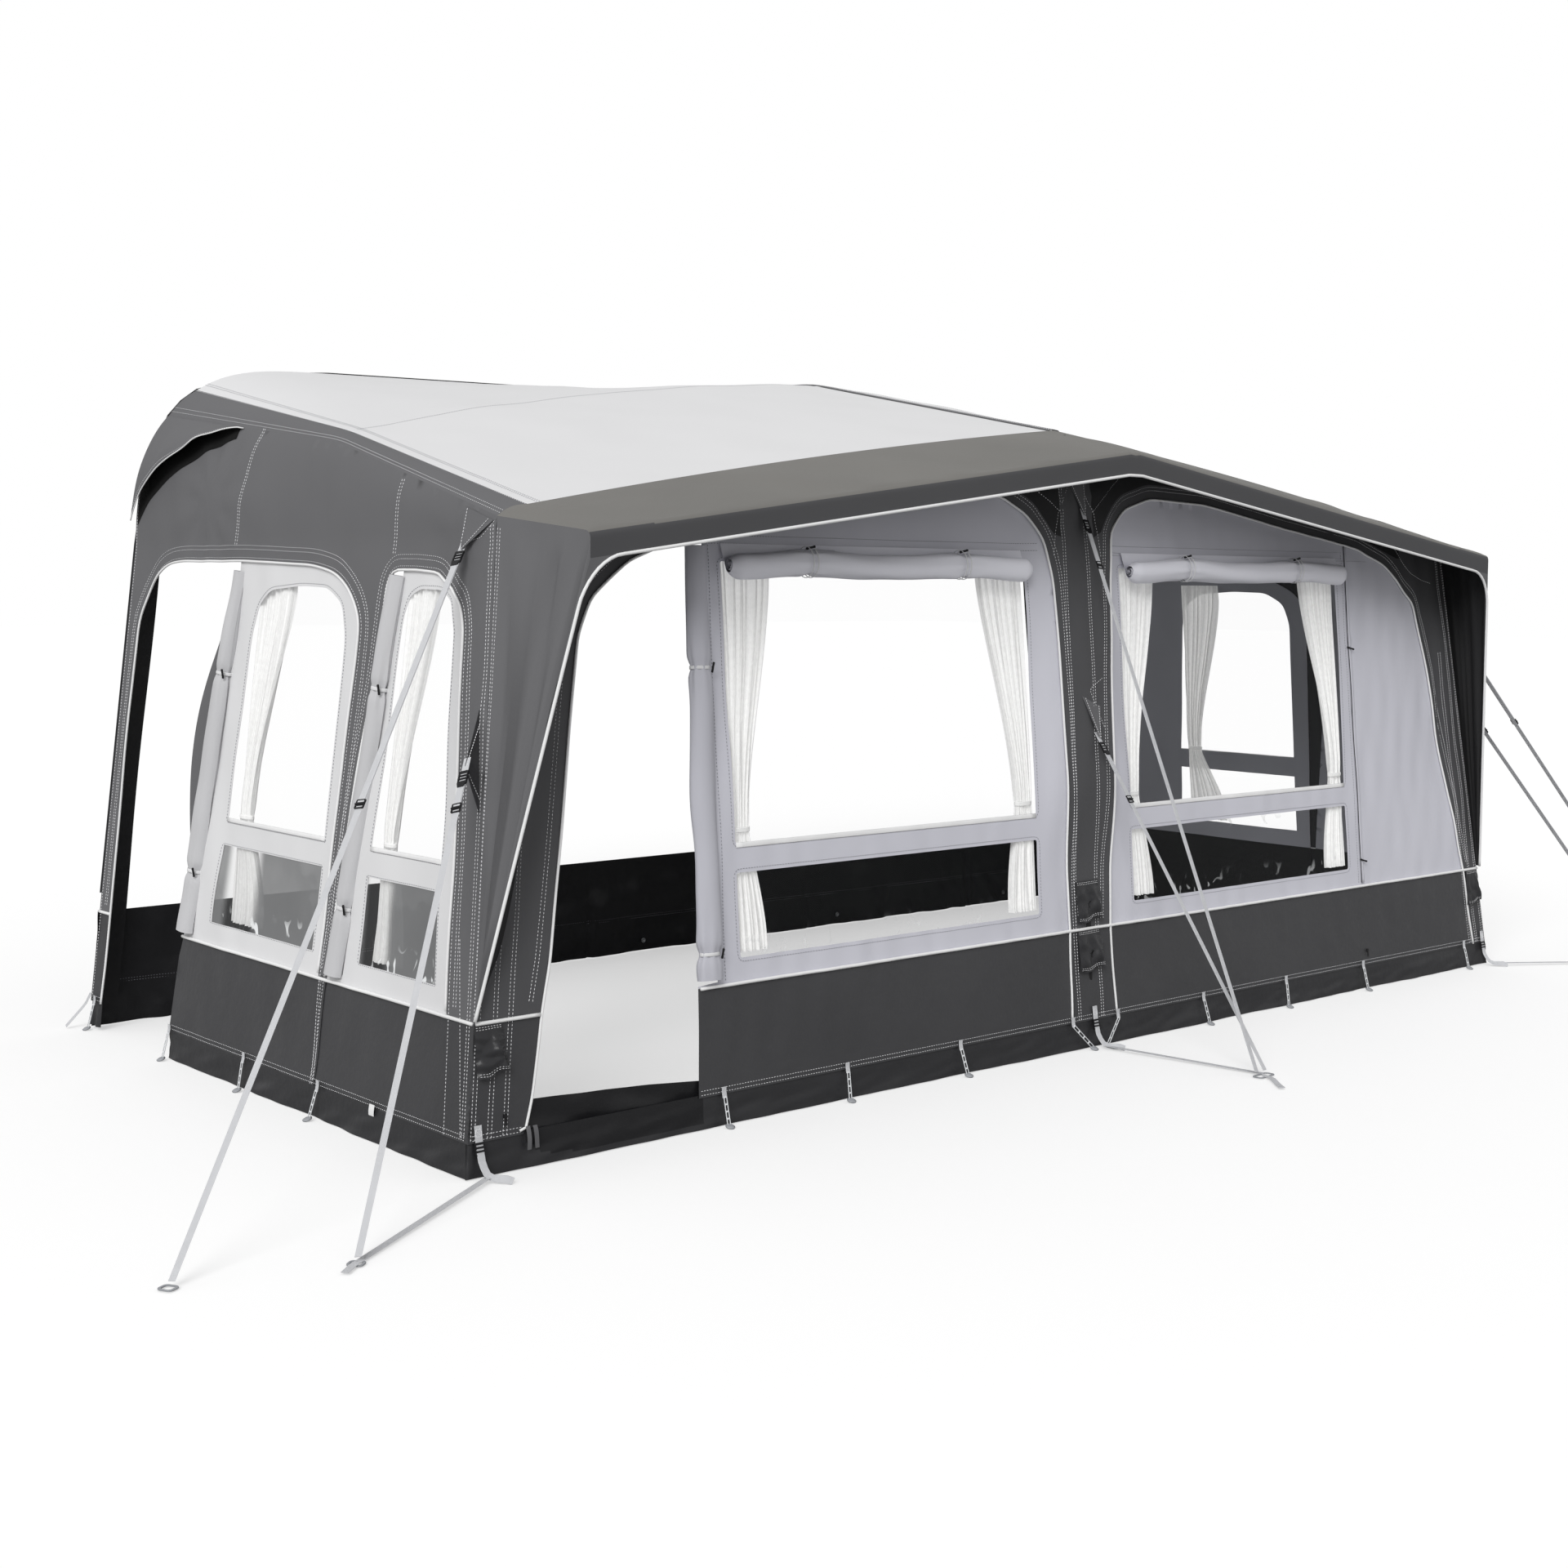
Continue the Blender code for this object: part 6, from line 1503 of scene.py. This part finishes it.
def atDoor(spot):  # in the front doorway the outer sheet sinks and the sill shows above it
    x, z = spot[:, 0], spot[:, 2]
    dip = 0.022 + 0.085 * np.exp(-(x + 2.505) / 0.045)
    return (x > -2.505) & (x < -1.845) & (spot[:, 1] < 0.2) & (z > dip)


gridCloth("mudFlap", mudFlap(), ["mud", "skirt", "bandInside", "bandInside"], stands=("mud_flap",),
          rests=("frontFrame",), chosen=atDoor)
sill = {"high": (0.193, 0.151), "span": (-2.512, -1.835)}
p = np.linspace(0, 1, 60)[None]
t = np.linspace(0, 1, 16)[:, None]
x = sill["span"][0] + (sill["span"][1] - sill["span"][0]) * p + 0 * t
high = sill["high"][0] + (sill["high"][1] - sill["high"][0]) * p
z = 0.018 + (high - 0.018) * t + 0.004 * np.sin(np.pi * p) * t
inner = 0.014 + 0.008 * np.sin(np.pi * t) + 0.004 * ripple(x, z * 2, 97, 0.25)
gridCloth("doorSill", triple(x, awning["frontLean"] * z + inner, z), ["skirt", "skirt"], inside=(-2.1, 1, 0.3),
          rests=("mudFlap",))
y = np.linspace(2.508, 2.592, 10)[None]  # foot of the rear left column
z = 0.012 + 0.094 * (1 - t)
gridCloth("columnFoot", triple(-(sideX(z) - 0.004 + 0.006 * np.sin(y * 90) * t), y, z), ["mud", "bandInside"],
          rests=("rearSkirt",))
skirt = {"halfWidth": 2.655, "high": 0.43, "columns": 260, "rows": 22, "seamRow": 13,
         "pleats": (-1.62, -1.32, -0.4, 0.9, 2.0), "eyelets": (-1.30, -0.10, 1.10, 2.30)}
x = np.linspace(-skirt["halfWidth"], skirt["halfWidth"], skirt["columns"])[None]
t = np.linspace(0, 1, skirt["rows"])[:, None]
z = skirt["high"] * (1 - t) + 0.003
pleat = sum(0.008 * hump(x, place, 0.012) for place in skirt["pleats"])
soft = 0.006 * ripple(x, z, 98, 0.5) + 0.003 * ripple(x, z * 1.5, 99, 0.18) + pleat
soft = np.clip(soft * fade(t, 0, 0.2) * (1 + 1.2 * fade(t, 0.6, 0.75)), -0.011, 0.010)
skirtGrid = triple(x * (1 + 0.0125 * t), awning["depth"] + soft - 0.003, z)
gridCloth("rearSkirt", skirtGrid, ["skirt", "skirt"], stands=("rear_skirt",), rests=("rail_bead",))
for drop in (0, 0.010):
    line = skirtGrid[skirt["seamRow"]] - (0, 0.0016, drop)
    sewFree("stitchSkirt", line, (0, -1, 0))
eyelets = []
for x in skirt["eyelets"]:
    ring = turned([(0.005, 0.001), (0.006, 0.0028), (0.010, 0.0030), (0.0125, 0.0008)],
                  (x, awning["depth"] - 0.008, 0.05), (0, -1, 0), (0, 0, 1), 20)
    eyelets.append(ring)
gatheredPiece("skirtEyelets", eyelets, "steel")
for side, sign in (("Left", -1), ("Right", 1)):
    z = np.linspace(0.11, 2.06, 60)[:, None]
    k = np.linspace(0, 1, 5)[None]
    deep = 0.085 * k + 0.004 * np.sin(z * 5) * k
    inner = sideShape(awning["depth"] + 0 * z, z) - 0.006 - deep
    grid = triple(sign * inner, awning["depth"] - 0.012 - 0.010 * k, z + 0 * k)
    gridCloth("rearEdging" + side, grid, ["skirt", "skirt"], inside=(0, 5, 1), rests=("rail_bead",))
print("mud flap, sill and skirt made")


# Straps, buckles, slides and rings

strap = {"width": 0.025, "doubled": 0.024, "ground": 0.022, "rear": 0.020, "thick": 0.0018}
guys = {}
for side, sign in bothSides:
    guys[side + "Upper"] = {"node": "guy_strap_%s_upper" % side, "start": (0.331, 1.787),
                            "ring": (sign * 3.72, -0.305, 0.006), "slide": 0.40}
    guys[side + "Lower"] = {"node": "guy_strap_%s_lower" % side, "start": (0.165, 1.274),
                            "ring": (sign * 3.29, -0.43, 0.006), "slide": 0.18, "lead": 0.12}
for key, start, ring, slide in (("centreUpper", (0.03, 1.943), (0.075, -0.66, 0.006), 0.10),
                                ("centreLower", (0.05, 1.136), (0.125, -0.66, 0.006), 0.20)):
    guys[key] = {"node": "guy_strap_centre", "start": start, "ring": ring, "slide": slide}
replaced = {}
webs, buckles, metals = {}, [], []


def frameOf(origin, along, facing):  # three axes: along the strap, across it and out of it
    along = unit(np.asarray(along, float))
    facing = np.asarray(facing, float)
    facing = unit(facing - along * np.dot(facing, along))
    return np.asarray(origin, float), along, np.cross(facing, along), facing


def plate(outline, holes, thick, axes, lift=0.0):
    # a flat shape with holes, given a thickness and set in the strap's axes
    origin, along, across, facing = axes
    flat, triangles = filled(outline, holes, 5.0)
    edges = np.concatenate([triangles[:, [0, 1]], triangles[:, [1, 2]], triangles[:, [2, 0]]])
    code = edges[:, 0] * 100000 + edges[:, 1]
    rim = edges[~np.isin(code, edges[:, 1] * 100000 + edges[:, 0])]
    count = len(flat)
    layers = [origin + flat[:, :1] * along + flat[:, 1:] * across + facing * (lift + side * thick / 2)
              for side in (1, -1)]
    walls = np.stack([rim[:, 1], rim[:, 0], rim[:, 0] + count, rim[:, 1] + count], axis=1)
    faces = [triangles.tolist(), (triangles[:, ::-1] + count).tolist(), walls.tolist()]
    return np.concatenate(layers), faces, np.tile(flat, (2, 1))


def roundBox(long, wide, curve, centre=(0, 0), count=4):
    turn = np.linspace(0, math.pi / 2, count)
    corners = ((1, 1, 0), (-1, 1, 1), (-1, -1, 2), (1, -1, 3))
    return np.array([(centre[0] + x * (long / 2 - curve) + curve * math.cos(a + k * math.pi / 2),
                      centre[1] + y * (wide / 2 - curve) + curve * math.sin(a + k * math.pi / 2))
                     for x, y, k in corners for a in turn])


def addStrap(group, path, facing, width=None, thick=None):
    path = resampled(path, 0.02)
    webs.setdefault(group, []).append(swept(path, slab(width or strap["width"], thick or strap["thick"]), facing))


def addBar(axes, shift, lift, half, radius):  # a round bar across a buckle
    bar = [axes[0] + axes[1] * shift + axes[2] * w + axes[3] * lift for w in (-half, 0, half)]
    buckles.append(swept(bar, disc(radius, 8), axes[3]))


def slotted(places, long=0.005):
    return [roundBox(long, 0.0265, 0.002, (place, 0), 3) for place in places]


for key, guy in guys.items():
    ring = np.array(guy["ring"])
    if "centre" in key:
        spot = frontCloth(*guy["start"], 0.005)
        facing = np.array([0.2, -1, 0.7])
    else:
        sign = -1 if "left" in key else 1
        spot = sideAt(*guy["start"], 0.008, sign, True)
        facing = np.array([sign, -0.2, 0.6])
    axis = unit(ring - spot)
    length = float(np.linalg.norm(ring - spot))
    group = "guy" + key[0].upper() + key[1:]
    replaced[group] = (guy["node"],)
    lead = guy.get("lead", -0.01)
    addStrap(group, [spot + axis * lead, spot + axis * (length * 0.5), ring - axis * 0.012], facing)
    extra = spot + axis * (guy["slide"] * length)
    upward = frameOf(spot, axis, facing)[3]
    doubled = [spot + axis * (lead + 0.095) + upward * 0.0024, extra + upward * 0.0024]
    addStrap(group, doubled, facing, strap["doubled"])
    hardware = frameOf(spot + axis * (lead + 0.068), axis, facing)
    slots = slotted((-0.013, -0.003, 0.007))
    buckles.append(plate(roundBox(0.044, 0.034, 0.004, (-0.002, 0)), slots, 0.0055, hardware, 0.001))
    tongue = [(0.018, -0.015), (0.030, -0.011), (0.030, 0.011), (0.018, 0.015)]
    buckles.append(plate(tongue, [], 0.003, hardware, 0.004))
    for c in (-0.008, 0.002):
        addBar(hardware, c, 0.003, 0.016, 0.0025)
    glide = frameOf(extra, axis, facing)
    buckles.append(plate(roundBox(0.030, 0.034, 0.004), slotted((-0.008, 0.008), 0.0055), 0.0045, glide, 0.0015))
    addBar(glide, 0, 0.004, 0.0165, 0.003)
    if key != "centreLower":
        level = unit(axis * (1, 1, 0))
        wideRing = key == "centreUpper"
        place = ring + level * 0.006 + ((0.025, 0, 0) if wideRing else (0, 0, 0))
        flatAxes = frameOf(place, level, (0, 0, 1))
        outer = roundBox(0.040, 0.090 if wideRing else 0.044, 0.012)
        innerHole = roundBox(0.028, 0.078 if wideRing else 0.030, 0.008)
        metals.append(plate(outer, [innerHole], 0.004, flatAxes, -0.003))
        if wideRing:
            tail = [place + (0, 0, -0.002), place + (-0.02, -0.05, 0), (0.03, -0.775, 0.004),
                    (-0.006, -0.818, 0.006)]
        else:
            tail = [place, place + level * 0.04, place + level * 0.075 + (0, 0, -0.001)]
        if "Upper" not in key or wideRing:
            addStrap(group, rounded(tail, 0.03, 0.006), (0, 0, 1), strap["ground"])

for sign in (-1, 1):  # short straps at the rear corners
    rearStrap = [(sign * 2.694, 2.585, 0.13), (sign * 2.71, 2.596, 0.09), (sign * 2.772, 2.632, 0.007)]
    addStrap("anchorStraps", rearStrap, (sign, 0, 0.8), strap["rear"])
locks = {"left": -2.655, "centre": 0.0, "right": 2.655}
for key, x in locks.items():
    drop = [frontAt(x, 0.150, 0.005), frontAt(x, 0.10, 0.007), (x, -0.012, 0.045), (x, -0.040, 0.016),
            (x + 0.012, -0.062, 0.010), (x + 0.030, -0.085, 0.014), (x + 0.045, -0.10, 0.006)]
    addStrap("anchorStraps", rounded(drop, 0.03, 0.005), (0.0, -1, 0.6))
    axes = frameOf(frontAt(x, 0.083, 0.008), (0, -0.16, -1), (0, -1, 0.1))
    buckles.append(plate(roundBox(0.040, 0.034, 0.005), slotted((-0.011, 0.0, 0.011)), 0.006, axes, 0.001))
    for c in (-0.0055, 0.0055):
        addBar(axes, c, 0.004, 0.016, 0.0026)
    axes = frameOf(frontAt(x, 0.128, 0.0062), (0, -0.1, -1), (0, -1, 0.1))
    box = np.array([(-0.010, -0.009), (-0.010, 0.009), (0.010, 0.009), (0.010, -0.009),
                    (-0.010, -0.009), (0.010, 0.009)])
    line = axes[0] + box[:, :1] * axes[1] + box[:, 1:] * axes[2] + axes[3] * 0.001
    sewFree("stitchAnchor", resampled(line, 0.004), axes[3], 0.005)
for group, ring, x in (("guyLeftLower", (-3.29, -0.43), -2.655), ("guyRightLower", (3.29, -0.43), 2.655),
                       ("guyCentreLower", (0.12, -0.655), 0.0)):
    addStrap(group, [(ring[0], ring[1], 0.004), (x, -0.042, 0.012)], (0, 0, 1), strap["ground"])
for group, parts in webs.items():
    gatheredPiece(group, parts, "webbing", True, stands=replaced.get(group, ()), smooth=False)
gatheredPiece("strapBuckles", buckles, "black", smooth=False, bevel=0.0007)
gatheredPiece("groundRings", metals, "grey", smooth=False, bevel=0.0008)
print("straps made")


# Peg loops along the hem: a sewn tab, a ladder of rungs and a flat peg head

pegs = {"front": (-1.761, -1.239, -0.709, -0.125, 0.125, 0.635, 1.171, 1.716, 2.50),
        "left": (0.86, 1.357, 1.915, 2.55), "right": (0.86, 1.357, 1.924, 2.50), "height": 0.108}
tabs, ladders, heads = [], [], []


def pegLoop(top, outward, seed, swing=None):
    # tab from the hem, ladder down to the ground, peg head on it
    swing = 0.012 * math.sin(seed * 2.3) if swing is None else swing
    sideways = np.cross(outward, (0, 0, 1))
    hem = np.asarray(top, float) + outward * 0.004
    tab = [hem + (0, 0, 0.016), hem, hem + outward * 0.004 - (0, 0, 0.018)]
    tabs.append(swept(resampled(tab, 0.006), slab(0.018, 0.0016), outward))
    start = hem + outward * 0.005 - (0, 0, 0.016)
    spot = np.asarray(top, float) * (1, 1, 0) + outward * 0.030 + sideways * swing + (0, 0, 0.006)
    axis = unit(spot - start)
    length = float(np.linalg.norm(spot - start))
    axes = frameOf(start + axis * length / 2, axis, outward)
    rungs = 4
    holes = [roundBox(length / rungs - 0.005, 0.0085, 0.002, (-length / 2 + (k + 0.5) * length / rungs, 0), 3)
             for k in range(rungs)]
    ladders.append(plate(roundBox(length + 0.004, 0.0135, 0.003), holes, 0.0028, axes))
    heads.append(turned([(0.002, 0.006), (0.010, 0.005), (0.016, 0.002), (0.015, -0.001), (0.003, -0.003)],
                        spot + outward * 0.004 - (0, 0, 0.002), unit(outward * 0.35 + np.array([0, 0, 1])),
                        (0, 1, 0), 16))


for index, x in enumerate(pegs["front"]):
    swing = math.copysign(0.085, x) if abs(x) < 0.2 else None  # the two at the middle post stand apart
    pegLoop(frontAt(x, pegs["height"], 0.004), np.array([0, -1.0, 0]), index, swing)
for sign, places in ((-1, pegs["left"]), (1, pegs["right"])):
    for index, y in enumerate(places):
        pegLoop(sideAt(y, pegs["height"], 0.004, sign), np.array([float(sign), 0, 0]), index + 20)
gatheredPiece("pegTabs", tabs, "webbing", True, smooth=False)
gatheredPiece("pegLadders", ladders, "pale", smooth=False, bevel=0.0006)
gatheredPiece("pegHeads", heads, "grey")
print("peg loops made")


# Guy patches, zips, door toggles and care tag

def patch(name, corners, look="wall"):
    corners = np.array(corners, float)
    a, b, c = corners
    rows = [a * (1 - t) + b * t for t in np.linspace(0, 1, 9)]
    grid = np.array([[r * (1 - k) + c * k for k in np.linspace(0, 0.97, 9)] for r in rows])
    sway = 0.002 * np.sin(np.linspace(0, math.pi, 9))[:, None] * np.sin(np.linspace(0, math.pi, 9))[None]
    normal = unit(np.cross(b - a, c - a))
    gridCloth(name, grid + normal * sway[..., None], [look, look], rests=("frontFrame",))
    for side in (grid[1], grid[-2]):
        sewFree("stitchPatches", side + normal * 0.0012, normal, 0.009)
        sewFree("stitchPatches", side - normal * 0.0028, -normal, 0.009)


guyPatches = {"Upper": {"apex": (0.331, 1.787), "corners": ((0.355, 1.893), (0.196, 1.850)), "reach": 0.03,
                        "look": "wall"},
              "Lower": {"apex": (0.165, 1.274), "corners": ((0.160, 1.31), (0.118, 1.02)), "reach": 0.15,
                        "look": "band"}}


def tipOf(apex, guy, reach):  # where a patch ends on its guy
    return apex + unit(np.array(guys[guy]["ring"]) - apex) * reach


for side, sign in bothSides:
    surface = sideCloth(sign)
    for level, item in guyPatches.items():
        tip = tipOf(surface(*item["apex"], 0.010), side + level, item["reach"])
        patch("guyPatch" + level + side.title(), [*(surface(*corner, 0.003) for corner in item["corners"]), tip],
              item["look"])
for level, x, v in (("Upper", 0.03, 1.943), ("Lower", 0.05, 1.136)):
    tip = tipOf(frontCloth(x, v, 0.010), "centre" + level, 0.02)
    patch("guyPatchPost" + level,
          [frontCloth(x - 0.07, v + 0.14, 0.002), frontCloth(x + 0.03, v + 0.10, 0.002), tip])

points, _ = lineOn(frontCloth, resampled([(1.7235, 1.855), (1.7375, 0.9), (1.7455, 0.445)], 0.02), 0.0008)
chain = swept(points, disc(0.0012, 8, 0.0022), up=(1, 0, 0.001))
gatheredPiece("doorZip", [chain], "tube", True)
strip = resampled([(1.7315, 1.85), (1.7455, 0.9), (1.7535, 0.445)], 0.02)
points, _ = lineOn(frontCloth, strip, 0.0005)
flapStrip = swept(points, disc(0.0014, 8, 0.010), up=(1, 0, 0.001))
gatheredPiece("doorZipFlap", [flapStrip], "panel", True)
knobs = []
for v in (1.427, 0.539):
    spot = frontCloth(1.735 + 0.02 * (1.43 - v) / 0.9, v, 0.007)
    knobs.append(capsule(spot, unit(np.array([1, -0.5, -0.35])), 0.034, 0.0042))
gatheredPiece("doorToggles", knobs, "black")
for side in ("left", "right"):
    low, high = (np.array(corner) - (0, awning["moveY"], 0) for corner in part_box("zip_slider_" + side))
    centre = (low + high) / 2
    axes = frameOf(centre + (0, 0, 0.004), (0, -awning["frontLean"], -1), frontOut)
    slider = [plate(roundBox(0.014, 0.011, 0.003, (-0.007, 0)), [], 0.005, axes, 0),
              plate(roundBox(0.024, 0.008, 0.0035, (0.008, 0)), [roundBox(0.008, 0.004, 0.0015, (0.013, 0), 3)],
                    0.0018, axes, 0.0016)]
    gatheredPiece("zipSlider" + side.title(), slider, "black", body="zip_slider_" + side,
                  stands=("zip_slider_" + side,), smooth=False, bevel=0.0005)
for index, shift in enumerate((0.0, 0.021)):  # two dark pulls at the foot of the left bay
    k = np.linspace(-0.007, 0.007, 4)[None]
    t = np.linspace(0, 1, 8)[:, None]
    pull = frontAt(-2.490 + shift * (1 + 0.5 * t) + k, 0.122 - 0.068 * t, 0.009 + 0.006 * np.sin(3 * t + index))
    gridCloth("zipPull%d" % index, pull, ["wall", "wall"], rests=("frontFrame",))
tagSpot = sideAt(0.52, 0.112, 0.0035, -1)
tagGrid = np.array([[tagSpot + (-0.004 * math.sin(2 * t), 0.030 * s, -0.034 * t) for s in np.linspace(0, 1, 6)]
                    for t in np.linspace(0, 1, 8)])
gridCloth("careTag", tagGrid, ["piping", "piping"], thick=0.0005, rests=("wallFrameLeft",))

for name, parts in seams.items():
    points, faces, start = [], [], 0
    for place, group in parts:
        points.append(place)
        faces.append(group + start)
        start += len(place)
    paler = name in ("stitchPanels", "stitchSidePanels", "stitchRoof", "stitchSkirt")
    newPiece(name, np.concatenate(points), np.concatenate(faces), "threadLight" if paler else "thread",
             smooth=False)
for name, parts in pipes.items():
    gatheredPiece(name, parts, "piping", True)
stitchCount = sum(len(place) for parts in seams.values() for place, _ in parts) // 5
print("patches, zips, stitches and piping made:", stitchCount, "stitches")

# the rail bead keeps the mesh of its solid and gets a finish
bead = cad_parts["rail_bead"]
bead.data.materials.clear()
bead.data.materials.append(finishes["skirt"])
